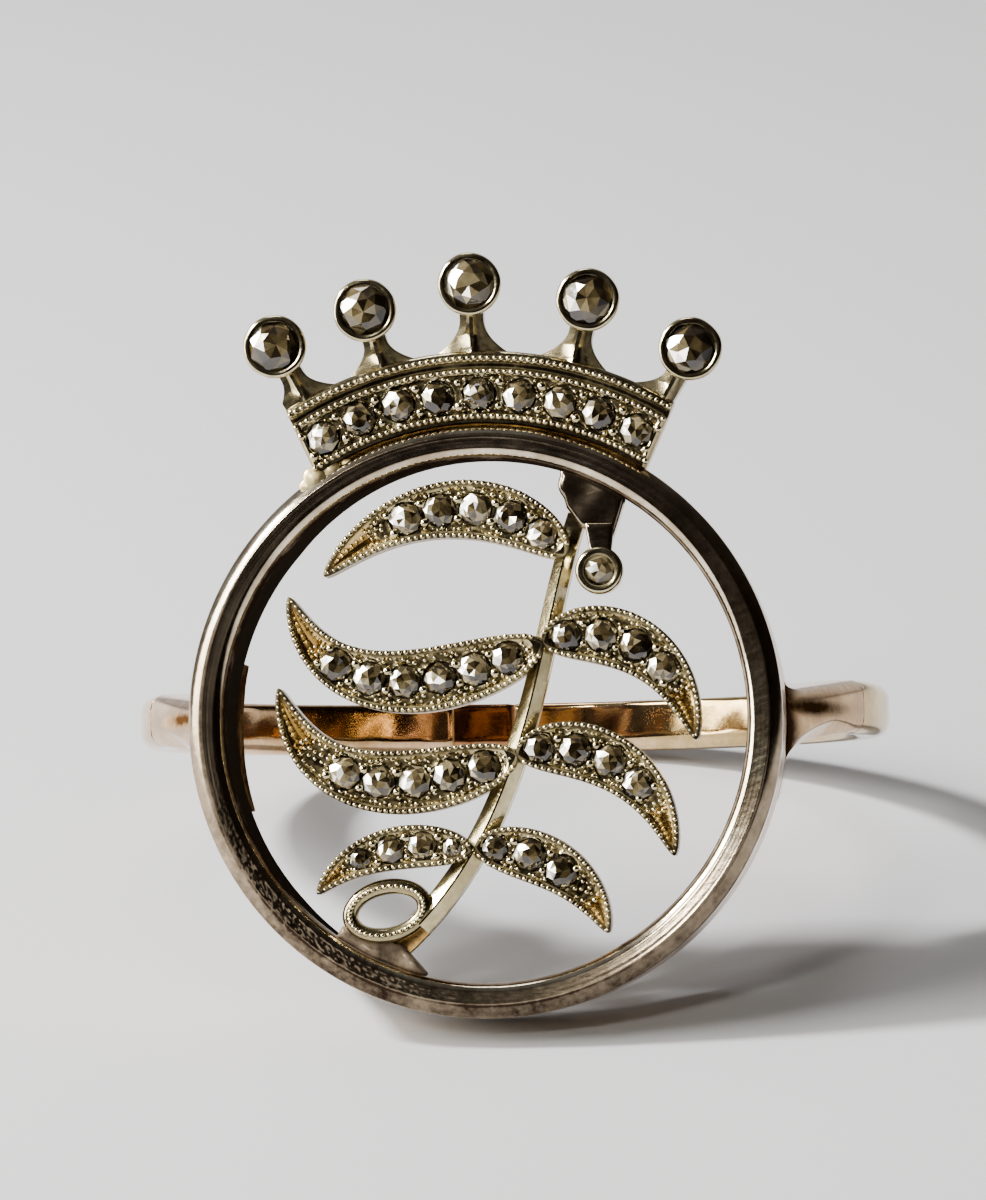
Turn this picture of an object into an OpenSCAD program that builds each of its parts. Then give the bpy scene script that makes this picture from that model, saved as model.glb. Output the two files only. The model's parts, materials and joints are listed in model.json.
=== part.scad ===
/* [Shank] */
// Inside diameter of the finger hole
bore_d = 17.8; // [17:0.1:18.6]
// Thickness of the shank, from the finger outwards
shank_t = 1.1; // [0.9:0.05:1.3]
// Height of the shank at the back, along the finger
shank_h = 1.4; // [1.2:0.1:1.8]
// Radius of the shank's two outer edges
shank_round = 0.3; // [0.15:0.05:0.4]
// Height of the shoulder's lower edge below the frame's centre where they meet
shoulder_down = 1.4; // [1.1:0.05:1.6]
// Height of the shoulder's upper edge above the frame's centre where they meet
shoulder_up = 0.65; // [0.6:0.05:0.9]
// Height of the shoulder's foot, behind the tube, above the frame's centre
shoe_up = 1.7; // [1.2:0.1:2]
// Height of the shoulder's foot, behind the tube, below the frame's centre
shoe_down = 2.1; // [1.6:0.1:2.4]
// Angle from the front of the ring to the seam behind each shoulder
shoulder_angle = 70; // [66:1:76]
// Radius of the straighter outer curve of the shoulders
shoulder_r = 60; // [40:5:80]
// Angle round the ring from its back to the middle of the resizing piece
insert_angle = 9.6; // [6:0.2:20]
// Width of the resizing piece, as an angle round the ring
insert_span = 11; // [6:0.5:20]

/* [Frame] */
// Outside diameter of the round frame
frame_d = 15; // [14.6:0.1:15.4]
// Radial thickness of the frame's tube
frame_t = 0.85; // [0.7:0.05:1]
// Distance of the frame's front face from the finger axis
frame_z = 11.2; // [11:0.1:11.6]
// Depth of the frame at its sides; above and below, the finger's curve cuts it
frame_depth = 3.8; // [3.2:0.1:4.2]
// Distance of the frame's centre below the middle of the shank
head_drop = 0.4; // [0.3:0.05:0.8]
// Depth of the white metal cap on the frame's front
cap_h = 0.9; // [0.7:0.05:1.1]
// Width of the bevel on the cap's outer edge
outer_bevel = 0.28; // [0.2:0.01:0.32]
// Width of the bevel on the cap's inner edge
inner_bevel = 0.2; // [0.12:0.01:0.24]
// Distance that the cap stands into the opening past the tube
cap_lip = 0.05; // [0.02:0.01:0.08]

/* [Crown] */
// Width of the crown across its lower corners
crown_foot_w = 8.3; // [7.6:0.1:9]
// Width of the crown across its upper corners
crown_top_w = 9.8; // [9:0.1:10.4]
// Height of the crown's band above the frame
band_rise = 1.8; // [1.7:0.05:1.9]
// Thickness of the crown's white metal plate
plate_t = 0.8; // [0.6:0.05:0.9]
// Thickness of the gold sheet behind the white metal
backing_t = 0.3; // [0.2:0.05:0.4]
// Number of stones in the crown's band
band_stones = 9; // [7:1:9]
// Radius of the stones in the crown's band
band_stone_r = 0.42; // [0.3:0.01:0.43]
// Angle between the crown's points
point_pitch = 14.65; // [13.5:0.1:15.5]
// Distance of the point stones from the frame's centre
point_r = 10.8; // [10.7:0.05:11.1]
// Outer radius of the point collets at the front
collet_r = 0.8; // [0.7:0.01:0.85]
// Outer radius of the point collets at the back
collet_back_r = 0.62; // [0.55:0.01:0.65]
// Depth of the point collets
collet_h = 1; // [0.9:0.05:1.1]
// Width of a point's stem just under its collet
neck_w = 0.6; // [0.45:0.05:0.7]
// Width of a point's stem at its foot
foot_w = 2.05; // [1.8:0.05:2.2]

/* [Spray] */
// Thickness of the white metal leaves
leaf_t = 0.6; // [0.5:0.05:0.65]
// Radius of the largest leaf stones
leaf_stone_r = 0.42; // [0.32:0.01:0.44]
// Space between neighbouring leaf stones
stone_gap = 0.06; // [0.04:0.01:0.12]
// Width of the beaded edge wires
rail_w = 0.13; // [0.1:0.01:0.15]
// Height of the beaded edge wires
rail_h = 0.1; // [0.06:0.01:0.14]
// Width of the spray's stem at its top
stem_top_w = 0.46; // [0.36:0.02:0.56]
// Width of the spray's stem at its foot
stem_foot_w = 0.66; // [0.5:0.02:0.8]
// Outer radius of the berry collet
berry_r = 0.6; // [0.52:0.01:0.64]

/* [Hidden] */
POINTS = 5;
LEAVES = 7;

WHITE_METAL = "#c9c4ae";
ROSE_GOLD = "#d8ab86";
YELLOW_GOLD = "#b98a45";
COPPERY = "#b06a3c";
DIAMOND = "#dfe4e2";

$fn = 96;
FINE = 360;
FAR = 30;
EPS = 0.01;

bore_r = bore_d / 2;
shank_r = bore_r + shank_t;
frame_r = frame_d / 2;
tube_in_r = frame_r - frame_t;
tube_back_z = frame_z - frame_depth;
opening_r = tube_in_r - cap_lip;
cap_back_z = frame_z - cap_h;
band_top_r = frame_r + band_rise;
plate_z = cap_back_z + plate_t;

// Slope of the line on which the ring rests: it touches the back lower edge of
// the frame and is tangent to the rounded lower edge at the back of the shank.
frame_low = frame_r + head_drop;
rest_y = bore_r + shank_r - shank_round;
rest_z = frame_low - shank_h / 2 + shank_round;
lean = atan2(rest_z, rest_y) - asin(shank_round / norm([rest_y, rest_z]));
low_z = sin(lean) * bore_r - cos(lean) * frame_low;
front_y = -cos(lean) * frame_z - sin(lean) * (frame_low - outer_bevel);
back_y = cos(lean) * (shank_r - shank_round) + sin(lean) * (shank_h / 2 - shank_round)
    + shank_round;
mid_y = (front_y + back_y) / 2;

// Crown band: distances of its beaded wires from its top edge and from the frame,
// and the angle between its stones
TOP_WIRE_IN = 0.18;
UPPER_WIRE_IN = 0.52;
LOWER_WIRE_OUT = 0.15;
BAND_STONE_PITCH = 7.2;
rail_top_r = band_top_r - TOP_WIRE_IN;
rail_upper_r = band_top_r - UPPER_WIRE_IN;
rail_lower_r = frame_r + LOWER_WIRE_OUT;
stone_row_r = (rail_upper_r + rail_lower_r) / 2;

// Corners of the crown's slanted ends, on the frame and on the band's top
crown_foot_y = sqrt(pow(frame_r, 2) - pow(crown_foot_w / 2, 2));
crown_top_y = sqrt(pow(band_top_r, 2) - pow(crown_top_w / 2, 2));
crown_slant = (crown_top_w - crown_foot_w) / 2 / (crown_top_y - crown_foot_y);

// Crown points: the collet's back above the cap's, its wall at the front, which is
// also how deep the stone sits, and the stem's thickness and its bite into the collet
COLLET_STEP = 0.05;
COLLET_WALL = 0.1;
STONE_ROOM = 0.02;
STEM_T = 0.7;
STEM_BITE = 0.3;
FLANK_STEP = 0.05;
collet_z = cap_back_z + COLLET_STEP;
point_stone_r = collet_r - COLLET_WALL - STONE_ROOM;
point_stone_z = collet_z + collet_h - COLLET_WALL;
flank_r = (foot_w - neck_w) / 2;

// The points are hand made: how far each is turned, in degrees, and moved outwards
POINT_SHIFT = [[-1, 0], [0.6, -0.05], [0.9, 0.17], [-0.3, 0.07], [-0.9, -0.15]];

// Spray: each leaf is its half width and the four control points of its middle
// line, from the stem to the tip, measured from the frame's centre.
LEAF_STEP = 0.15;
leaf_z = cap_back_z + LEAF_STEP;
leaf_top_z = leaf_z + leaf_t;
LEAF_STEPS = 20;
LEAF = [
    [0.74, [[2.1, 4.1], [0.8, 5.7], [-2.0, 5.9], [-4.0, 3.7]]],
    [0.80, [[1.5, 1.9], [-0.6, 1.0], [-4.0, 0.0], [-4.9, 3.2]]],
    [0.74, [[1.5, 1.9], [2.9, 2.5], [4.9, 1.9], [5.3, -0.6]]],
    [0.80, [[0.8, -0.9], [-1.2, -1.6], [-4.4, -2.4], [-5.2, 0.9]]],
    [0.72, [[0.8, -0.9], [2.2, -0.4], [4.3, -1.1], [4.7, -3.5]]],
    [0.66, [[-0.3, -3.2], [0.9, -3.2], [2.5, -3.7], [3.0, -5.4]]],
    [0.54, [[-0.4, -3.3], [-1.6, -3.0], [-3.3, -3.0], [-4.3, -4.3]]]
];
// Parts of a leaf's length where the inner edge of its wire and its stones run,
// and the least metal between a stone and the wire
WIRE_START = 0.03;
WIRE_END = 0.94;
STONES_START = 0.13;
STONES_END = 0.76;
WIRE_ROOM = 0.03;

STEM = [[2.7, 5.9], [1.2, 2.2], [1.4, -2.6], [-2.5, -5.8]];
STEM_STEPS = 28;
SWEEP_STEPS = 10;
EYE_CENTRE = [-2.55, -4.75];
EYE_HALF = [1.15, 0.8];
EYE_TILT = 12;
EYE_WIRE = 0.4;
BERRY = [2.95, 3.7];
BERRY_WALL = 0.17;
STALK = [[2.75, 4.0], [3.25, 4.0], [3.35, 4.9], [2.6, 4.9]];
berry_stone_r = berry_r - BERRY_WALL;

// Outlines of the lug at the top of the spray and of the foot at its bottom; both
// run past the cap's opening, which cuts them
LUG = [[2.0, 5.9], [2.15, 5.3], [2.5, 4.8], [3.3, 4.5], [3.5, 5.1], [4.0, 6.8], [2.0, 6.8]];
LUG_NOSE = [2.25, 5.85];
LUG_NOSE_R = 0.3;
FOOT = [[-3.7, -5.1], [-3.1, -5.3], [-2.2, -5.6], [-1.6, -6.3], [-1.5, -7.2], [-4.9, -7.2]];

// Cut of the stones, as parts of a stone's radius, and the thickness of its girdle
PAVILION = 0.72;
CULET = 0.3;
TABLE = 0.6;
GIRDLE = 0.05;
PAVE_DOME = 0.32;
POINT_DOME = 0.38;
// Seat: the step under the girdle, then a cone down to the hole at the back
SEAT_STEP = 0.07;
SEAT_CONE = 0.8;
SEAT_HOLE = 0.45;
// Hole in the gold sheet behind a stone, as a part of the stone's radius
SHEET_HOLE = 0.5;

// Shoulders: how far their side outline reaches past the tube's back, and the sag
// and the length of the lower sweep
SHOULDER_REACH = 0.8;
SWEEP_SAG = 0.15;
SWEEP_RUN = 1.4;

// A point on a curve given by four control points, and its direction there
function bezier(p, t) =
    pow(1 - t, 3) * p[0] + 3 * t * pow(1 - t, 2) * p[1]
    + 3 * t * t * (1 - t) * p[2] + pow(t, 3) * p[3];
function slope(p, t) =
    3 * pow(1 - t, 2) * (p[1] - p[0]) + 6 * t * (1 - t) * (p[2] - p[1])
    + 3 * t * t * (p[3] - p[2]);
function across(p, t) = [-slope(p, t).y, slope(p, t).x] / norm(slope(p, t));

// Half width of a leaf: zero at both ends, widest a little past the stem
function leaf_half(leaf, t) = leaf[0] * pow(sin(180 * pow(t, 0.75)), 0.6);
function stone_r(leaf, t) = min(leaf_stone_r, leaf_half(leaf, t) - rail_w - WIRE_ROOM);
function stone_step(leaf, t) =
    (2 * max(stone_r(leaf, t), stone_r(leaf, t + 0.1)) + stone_gap) / norm(slope(leaf[1], t + 0.06));
function stone_places(leaf, t) =
    t > STONES_END ? [] : concat([t], stone_places(leaf, t + stone_step(leaf, t)));
function stem_half(t) = (stem_top_w + (stem_foot_w - stem_top_w) * t) / 2;

// The ring leans on its frame as it lies: the finger axis tips by the lean, and
// the origin is on the floor under the middle of the whole ring.
module ring_place() {
    translate([0, -mid_y, -low_z]) rotate([-lean, 0, 0]) children();
}

// Head coordinates, from the frame's centre line: X to the right, Y towards the
// crown, Z out from the finger
module head_turn() {
    translate([0, 0, -head_drop]) rotate([90, 0, 0]) children();
}

module head_place() {
    ring_place() head_turn() children();
}

// ---- Shank ----

module shank_section() {
    translate([bore_r, -shank_h / 2]) square([shank_t - shank_round, shank_h]);
    translate([bore_r, shank_round - shank_h / 2]) square([shank_t, shank_h - 2 * shank_round]);
    for (side = [-1, 1]) {
        translate([shank_r - shank_round, side * (shank_h / 2 - shank_round)])
            circle(r = shank_round);
    }
}

// An arc of the shank; angles run anticlockwise from the right-hand side
module shank_arc(from, to) {
    ring_place() rotate([0, 0, from]) rotate_extrude(angle = to - from) shank_section();
}

module shank_left() {
    color(ROSE_GOLD) shank_arc(90 + insert_angle + insert_span / 2, 270 - shoulder_angle);
}

module shank_right() {
    color(ROSE_GOLD) shank_arc(shoulder_angle - 90, 90 + insert_angle - insert_span / 2);
}

module sizing_insert() {
    color(COPPERY)
        shank_arc(90 + insert_angle - insert_span / 2, 90 + insert_angle + insert_span / 2);
}

// Side outline of a shoulder in head coordinates: Z out from the finger, then Y.
// The upper edge falls to the frame and the lower edge sweeps down to it.
module shoulder_outline() {
    top = head_drop + shank_h / 2;
    bottom = head_drop - shank_h / 2;
    seam_z = shank_r * cos(shoulder_angle);
    end_z = tube_back_z + SHOULDER_REACH;
    sweep = [
        [seam_z, bottom],
        [(seam_z + end_z) / 2, bottom - SWEEP_SAG],
        [end_z - SWEEP_RUN, (bottom - shoulder_down) / 2],
        [end_z, -shoulder_down]
    ];
    polygon(concat(
        [[0, bottom], [0, top], [seam_z, top], [end_z, shoulder_up]],
        [for (k = [SWEEP_STEPS:-1:0]) bezier(sweep, k / SWEEP_STEPS)]
    ));
}

// The right shoulder, seen along the finger: its outer curve is nearly straight,
// so that it rises from the shank towards the frame.
module shoulder_arm() {
    seam = [sin(shoulder_angle), -cos(shoulder_angle)];
    intersection() {
        translate((shank_r - shoulder_r) * seam)
            cylinder(r = shoulder_r, h = FAR, center = true, $fn = FINE);
        linear_extrude(height = FAR, center = true)
            polygon([[0, 0], FAR * seam, [FAR, -FAR], [0, -FAR]]);
        head_turn() rotate([0, -90, 0]) linear_extrude(height = FAR, center = true)
            shoulder_outline();
    }
}

// Foot of the right shoulder, soldered to the back of the tube
module shoulder_shoe() {
    head_turn() intersection() {
        cylinder(r = frame_r - EPS, h = frame_z);
        translate([0, -shoe_down, 0]) cube([frame_r, shoe_down + shoe_up, frame_z]);
    }
}

module shoulder() {
    difference() {
        union() {
            shoulder_arm();
            shoulder_shoe();
        }
        cylinder(r = bore_r, h = FAR, center = true);
        head_turn() {
            cylinder(r = tube_in_r, h = FAR);
            translate([0, 0, tube_back_z]) cylinder(r = frame_r, h = FAR);
        }
    }
}

module shoulder_right() {
    color(ROSE_GOLD) ring_place() shoulder();
}

module shoulder_left() {
    color(ROSE_GOLD) ring_place() mirror([1, 0, 0]) shoulder();
}

// ---- Round frame ----

// Gold tube whose back is cut to the curve of the finger
module frame_wall() {
    color(ROSE_GOLD) head_place() difference() {
        translate([0, 0, tube_back_z]) cylinder(r = frame_r, h = cap_back_z - tube_back_z);
        cylinder(r = tube_in_r, h = FAR);
        rotate([90, 0, 0]) cylinder(r = bore_r, h = FAR, center = true);
    }
}

// White metal cap: a bevel on each edge, and a face that falls a little inwards
module frame_rim() {
    face_fall = 0.08;
    color(WHITE_METAL) head_place() rotate_extrude() polygon([
        [opening_r, cap_back_z],
        [frame_r, cap_back_z],
        [frame_r, frame_z - outer_bevel],
        [frame_r - outer_bevel, frame_z],
        [opening_r + inner_bevel, frame_z - face_fall],
        [opening_r, frame_z - face_fall - inner_bevel]
    ]);
}

// Flag-shaped lug that joins the top of the spray to the frame
module lug_outline() {
    intersection() {
        circle(r = opening_r);
        union() {
            polygon(LUG);
            translate(LUG_NOSE) circle(r = LUG_NOSE_R);
        }
    }
}

module frame_lug() {
    color(WHITE_METAL) head_place() translate([0, 0, leaf_z - backing_t])
        linear_extrude(height = leaf_t + backing_t) lug_outline();
}

// Triangular foot that joins the bottom of the spray to the frame
module foot_outline() {
    intersection() {
        circle(r = opening_r);
        polygon(FOOT);
    }
}

module frame_foot() {
    color(WHITE_METAL) head_place() translate([0, 0, leaf_z - backing_t])
        linear_extrude(height = leaf_t + backing_t) foot_outline();
}

// ---- Stones and their seats, both with the girdle at height 0 ----

module stone(r, dome) {
    color(DIAMOND) rotate_extrude() polygon([
        [0, -PAVILION * r],
        [CULET * r, -PAVILION * r],
        [r, -GIRDLE],
        [r, 0],
        [TABLE * r, dome * r],
        [0, dome * r]
    ]);
}

module seat(r) {
    cone_h = SEAT_CONE * r;
    translate([0, 0, -SEAT_STEP]) cylinder(r = r + EPS, h = FAR);
    translate([0, 0, -SEAT_STEP - cone_h]) cylinder(r1 = SEAT_HOLE * r, r2 = r + EPS, h = cone_h);
    translate([0, 0, -FAR]) cylinder(r = SEAT_HOLE * r, h = FAR);
}

// ---- Crown ----

// Everything between the crown's two slanted ends
module crown_wedge() {
    low = crown_foot_w / 2 - crown_slant * crown_foot_y;
    high = low + crown_slant * FAR;
    polygon([[-low, 0], [low, 0], [high, FAR], [-high, FAR]]);
}

module crown_arc(inner, outer) {
    intersection() {
        crown_wedge();
        difference() {
            circle(r = outer);
            circle(r = inner);
        }
    }
}

module at_band_stones() {
    for (i = [0:band_stones - 1]) {
        rotate((i - (band_stones - 1) / 2) * BAND_STONE_PITCH) translate([0, stone_row_r]) children();
    }
}

module crown_plate() {
    color(WHITE_METAL) head_place() difference() {
        translate([0, 0, cap_back_z])
            linear_extrude(height = plate_t) crown_arc(frame_r, band_top_r);
        translate([0, 0, plate_z]) at_band_stones() seat(band_stone_r);
    }
}

module crown_backing() {
    color(YELLOW_GOLD) head_place() difference() {
        translate([0, 0, cap_back_z - backing_t])
            linear_extrude(height = backing_t) crown_arc(frame_r, band_top_r);
        at_band_stones() cylinder(r = SHEET_HOLE * band_stone_r, h = FAR);
    }
}

module crown_rail(r) {
    color(WHITE_METAL) head_place() translate([0, 0, plate_z])
        linear_extrude(height = rail_h) crown_arc(r - rail_w / 2, r + rail_w / 2);
}

module crown_rail_top() {
    crown_rail(rail_top_r);
}

module crown_rail_upper() {
    crown_rail(rail_upper_r);
}

module crown_rail_lower() {
    crown_rail(rail_lower_r);
}

module crown_band_stones() {
    head_place() translate([0, 0, plate_z]) at_band_stones()
        stone(band_stone_r, PAVE_DOME);
}

// Points are numbered from the left
function point_angle(i) = ((POINTS + 1) / 2 - i) * point_pitch + POINT_SHIFT[i - 1][0];
function point_away(i) = point_r + POINT_SHIFT[i - 1][1];

module at_point(i) {
    head_place() rotate(point_angle(i)) children();
}

module collet_outside(i) {
    translate([0, point_away(i), collet_z])
        cylinder(r1 = collet_back_r, r2 = collet_r, h = collet_h);
}

// Stem with two hollow flanks, standing on the band
module crown_stem(i) {
    flank_y = band_top_r + FLANK_STEP + flank_r;
    color(WHITE_METAL) at_point(i) difference() {
        translate([0, 0, cap_back_z]) linear_extrude(height = STEM_T) difference() {
            intersection() {
                translate([-foot_w / 2, 0]) square([foot_w, point_away(i) - collet_back_r + STEM_BITE]);
                rotate(-point_angle(i)) crown_wedge();
            }
            for (side = [-1, 1]) {
                translate([side * foot_w / 2, flank_y]) circle(r = flank_r);
            }
            circle(r = band_top_r);
        }
        collet_outside(i);
    }
}

module crown_collet(i) {
    color(WHITE_METAL) at_point(i) difference() {
        collet_outside(i);
        translate([0, point_away(i), point_stone_z]) seat(point_stone_r);
    }
}

module crown_stone(i) {
    at_point(i) translate([0, point_away(i), point_stone_z])
        stone(point_stone_r, POINT_DOME);
}

// ---- Spray ----

module leaf_outline(leaf) {
    polygon(concat(
        [for (k = [0:LEAF_STEPS]) let (t = k / LEAF_STEPS)
            bezier(leaf[1], t) + leaf_half(leaf, t) * across(leaf[1], t)],
        [for (k = [LEAF_STEPS - 1:-1:1]) let (t = k / LEAF_STEPS)
            bezier(leaf[1], t) - leaf_half(leaf, t) * across(leaf[1], t)]
    ));
}

// The leaf's middle, inside its edge wire
module leaf_inside(leaf) {
    span = WIRE_END - WIRE_START;
    polygon(concat(
        [for (k = [0:LEAF_STEPS]) let (t = WIRE_START + span * k / LEAF_STEPS)
            bezier(leaf[1], t) + (leaf_half(leaf, t) - rail_w) * across(leaf[1], t)],
        [for (k = [LEAF_STEPS:-1:0]) let (t = WIRE_START + span * k / LEAF_STEPS)
            bezier(leaf[1], t) - (leaf_half(leaf, t) - rail_w) * across(leaf[1], t)]
    ));
}

module stem_outline() {
    polygon(concat(
        [for (k = [0:STEM_STEPS]) let (t = k / STEM_STEPS)
            bezier(STEM, t) + stem_half(t) * across(STEM, t)],
        [for (k = [STEM_STEPS:-1:0]) let (t = k / STEM_STEPS)
            bezier(STEM, t) - stem_half(t) * across(STEM, t)]
    ));
}

module eye_shape(shrink) {
    translate(EYE_CENTRE) rotate(EYE_TILT)
        polygon([for (a = [0:10:350]) [(EYE_HALF.x - shrink) * cos(a), (EYE_HALF.y - shrink) * sin(a)]]);
}

module leaf_plate(i) {
    leaf = LEAF[i - 1];
    color(WHITE_METAL) head_place() difference() {
        translate([0, 0, leaf_z]) linear_extrude(height = leaf_t) difference() {
            leaf_outline(leaf);
            stem_outline();
        }
        for (t = stone_places(leaf, STONES_START)) {
            translate(concat(bezier(leaf[1], t), [leaf_top_z])) seat(stone_r(leaf, t));
        }
    }
}

module leaf_rail(i) {
    leaf = LEAF[i - 1];
    color(WHITE_METAL) head_place() translate([0, 0, leaf_top_z])
        linear_extrude(height = rail_h) difference() {
            leaf_outline(leaf);
            leaf_inside(leaf);
            stem_outline();
        }
}

module leaf_stones(i) {
    leaf = LEAF[i - 1];
    head_place() for (t = stone_places(leaf, STONES_START)) {
        translate(concat(bezier(leaf[1], t), [leaf_top_z])) stone(stone_r(leaf, t), PAVE_DOME);
    }
}

// Gold sheet under the leaves and the stem, pierced behind each stone
module spray_backing() {
    color(YELLOW_GOLD) head_place() translate([0, 0, leaf_z - backing_t])
        linear_extrude(height = backing_t) difference() {
            union() {
                for (leaf = LEAF) {
                    leaf_outline(leaf);
                }
                stem_outline();
            }
            lug_outline();
            foot_outline();
            for (leaf = LEAF, t = stone_places(leaf, STONES_START)) {
                translate(bezier(leaf[1], t)) circle(r = SHEET_HOLE * stone_r(leaf, t));
            }
        }
}

module spray_stem() {
    color(WHITE_METAL) head_place() translate([0, 0, leaf_z]) linear_extrude(height = leaf_t)
        difference() {
            stem_outline();
            lug_outline();
            foot_outline();
        }
}

// Open oval of wire beside the stem's foot
module eye_loop() {
    color(WHITE_METAL) head_place() translate([0, 0, leaf_z]) linear_extrude(height = leaf_t)
        difference() {
            eye_shape(0);
            eye_shape(EYE_WIRE);
            stem_outline();
            foot_outline();
        }
}

module berry_stalk() {
    color(WHITE_METAL) head_place() translate([0, 0, leaf_z]) linear_extrude(height = leaf_t)
        difference() {
            polygon(STALK);
            translate(BERRY) circle(r = berry_r);
            lug_outline();
            stem_outline();
        }
}

module berry_collet() {
    color(WHITE_METAL) head_place() difference() {
        translate(concat(BERRY, [leaf_z])) cylinder(r = berry_r, h = leaf_t + rail_h);
        translate(concat(BERRY, [leaf_top_z])) seat(berry_stone_r);
        translate([0, 0, leaf_z - EPS]) linear_extrude(height = FAR) stem_outline();
    }
}

module berry_stone() {
    head_place() translate(concat(BERRY, [leaf_top_z])) stone(berry_stone_r, PAVE_DOME);
}

shank_left();
shank_right();
sizing_insert();
shoulder_left();
shoulder_right();
frame_wall();
frame_rim();
frame_lug();
frame_foot();
crown_backing();
crown_plate();
crown_rail_top();
crown_rail_upper();
crown_rail_lower();
crown_band_stones();
for (i = [1:POINTS]) {
    crown_stem(i);
    crown_collet(i);
    crown_stone(i);
}
spray_backing();
spray_stem();
eye_loop();
berry_stalk();
berry_collet();
berry_stone();
for (i = [1:LEAVES]) {
    leaf_plate(i);
    leaf_rail(i);
    leaf_stones(i);
}
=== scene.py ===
"""Antique coronet ring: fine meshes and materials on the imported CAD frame.

Shapes are made in head coordinates, in millimetres: X to the right, Y towards the crown, Z out from
the finger, from the middle of the round frame on the finger's axis. put() turns them into the row frame.
"""

import json
import math

import bpy
import numpy as np
from mathutils import Matrix, Vector

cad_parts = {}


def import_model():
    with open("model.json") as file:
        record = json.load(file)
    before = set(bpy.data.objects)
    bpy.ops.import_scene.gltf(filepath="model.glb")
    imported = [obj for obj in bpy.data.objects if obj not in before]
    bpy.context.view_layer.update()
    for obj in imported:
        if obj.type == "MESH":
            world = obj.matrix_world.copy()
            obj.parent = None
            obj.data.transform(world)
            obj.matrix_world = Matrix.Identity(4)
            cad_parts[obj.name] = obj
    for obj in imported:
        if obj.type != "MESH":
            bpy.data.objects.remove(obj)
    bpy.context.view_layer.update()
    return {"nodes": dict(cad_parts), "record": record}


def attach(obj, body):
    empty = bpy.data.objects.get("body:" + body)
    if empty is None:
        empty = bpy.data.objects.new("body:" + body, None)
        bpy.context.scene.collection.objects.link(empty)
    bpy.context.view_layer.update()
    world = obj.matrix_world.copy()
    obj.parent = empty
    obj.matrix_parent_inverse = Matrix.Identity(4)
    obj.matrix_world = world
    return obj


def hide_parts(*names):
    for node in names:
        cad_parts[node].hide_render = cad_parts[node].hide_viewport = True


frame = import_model()

MM = 0.001
TAU = 2 * math.pi
dice = np.random.default_rng(7)

# ---- Head coordinates, from the finger hole's mount and the frame's cap ----

hole = frame["record"]["mounts"][0]
HOLE_AT = np.array(hole["pos_m"])
TO_RIGHT = np.array([1.0, 0.0, 0.0])
TO_CROWN = np.array(hole["axis"])
OUTWARD = np.cross(TO_RIGHT, TO_CROWN)
AXES = np.array([TO_RIGHT, TO_CROWN, OUTWARD])


def node_points(node):
    """A CAD node's vertices in the row frame, in metres."""
    return np.array([v.co for v in frame["nodes"][node].data.vertices])


def along(node, axis):
    """Lowest and highest place of a node along an axis through the finger hole, in millimetres."""
    places = (node_points(node) - HOLE_AT) @ axis / MM
    return places.min(), places.max()


HEAD_AT = HOLE_AT + MM * sum(along("frame_rim", TO_CROWN)) / 2 * TO_CROWN


def head_points(node):
    """A CAD node's vertices in head coordinates, in millimetres."""
    return (node_points(node) - HEAD_AT) @ AXES.T / MM


def span(node, axis):
    """Lowest and highest place of a node along a head axis: 0 is X, 1 is Y and 2 is Z."""
    places = head_points(node)[:, axis]
    return places.min(), places.max()


def reach(node):
    """Smallest and largest distance of a node's points from the head's own axis."""
    away = np.hypot(*head_points(node)[:, :2].T)
    return away.min(), away.max()


BORE_R = hole["dims"]["r_mm"]
HEAD_DROP = -sum(along("frame_rim", TO_CROWN)) / 2
SHANK_R = np.hypot(*head_points("sizing_insert")[:, [0, 2]].T).max()
SHANK_HALF = np.ptp(head_points("sizing_insert")[:, 1]) / 2
OPENING_R, FRAME_R = reach("frame_rim")
TUBE_IN_R = reach("frame_wall")[0]
TUBE_BACK_Z = span("frame_wall", 2)[0]
CAP_BACK_Z, FRAME_Z = span("frame_rim", 2)
BAND_TOP_R = reach("crown_plate")[1]
PLATE_Z = span("crown_plate", 2)[1]
LEAF_Z, LEAF_TOP_Z = span("leaf_1", 2)
BACKING_Z = span("spray_backing", 2)[0]


def put(points):
    """Head coordinates in millimetres to the row frame in metres."""
    return HEAD_AT + MM * np.asarray(points, float) @ AXES


# ---- Mesh helpers ----

# Direction of the facets that mirror the window light to the front, in head coordinates; those facets get a
# painted white flash
FLASH = np.array([-0.53, 0.13, 0.84])


def made(name, points, faces, material, slot, nodes, smooth=35, tint=None, gilt=None):
    """A piece of the ring: it rides on the one body and stands for its CAD nodes."""
    mesh = bpy.data.meshes.new(name)
    mesh.from_pydata(put(points).tolist(), [], [tuple(int(i) for i in f) for f in faces])
    mesh.validate()
    mesh.materials.append(material)
    layers = [("tint", "POINT", tint), ("gilt", "POINT", gilt)]
    if slot == "old_cut_stones":
        facing = np.array([f.normal for f in mesh.polygons]) @ AXES.T @ FLASH
        pick = np.random.default_rng(len(points))
        # Painted reflections on the stones: a random dark to khaki shade per facet, and a painted white flash
        # on the facets turned to FLASH
        painted_glint = pick.uniform(0, 0.45, len(facing))
        painted_glint += 0.8 * np.clip((facing - 0.88) / 0.06, 0, 1) * pick.uniform(0.3, 1, len(facing))
        layers.append(("facet", "FACE", painted_glint))
    for layer, domain, values in layers:
        if values is not None:
            data = mesh.attributes.new(layer, "FLOAT", domain).data
            data.foreach_set("value", np.asarray(values, np.float32))
    piece = bpy.data.objects.new(name, mesh)
    bpy.context.scene.collection.objects.link(piece)
    mesh.shade_smooth()
    if smooth:
        mesh.set_sharp_from_angle(angle=math.radians(smooth))
    else:
        mesh.shade_flat()
    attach(piece, "root")
    if nodes:
        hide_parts(*nodes)


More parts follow.
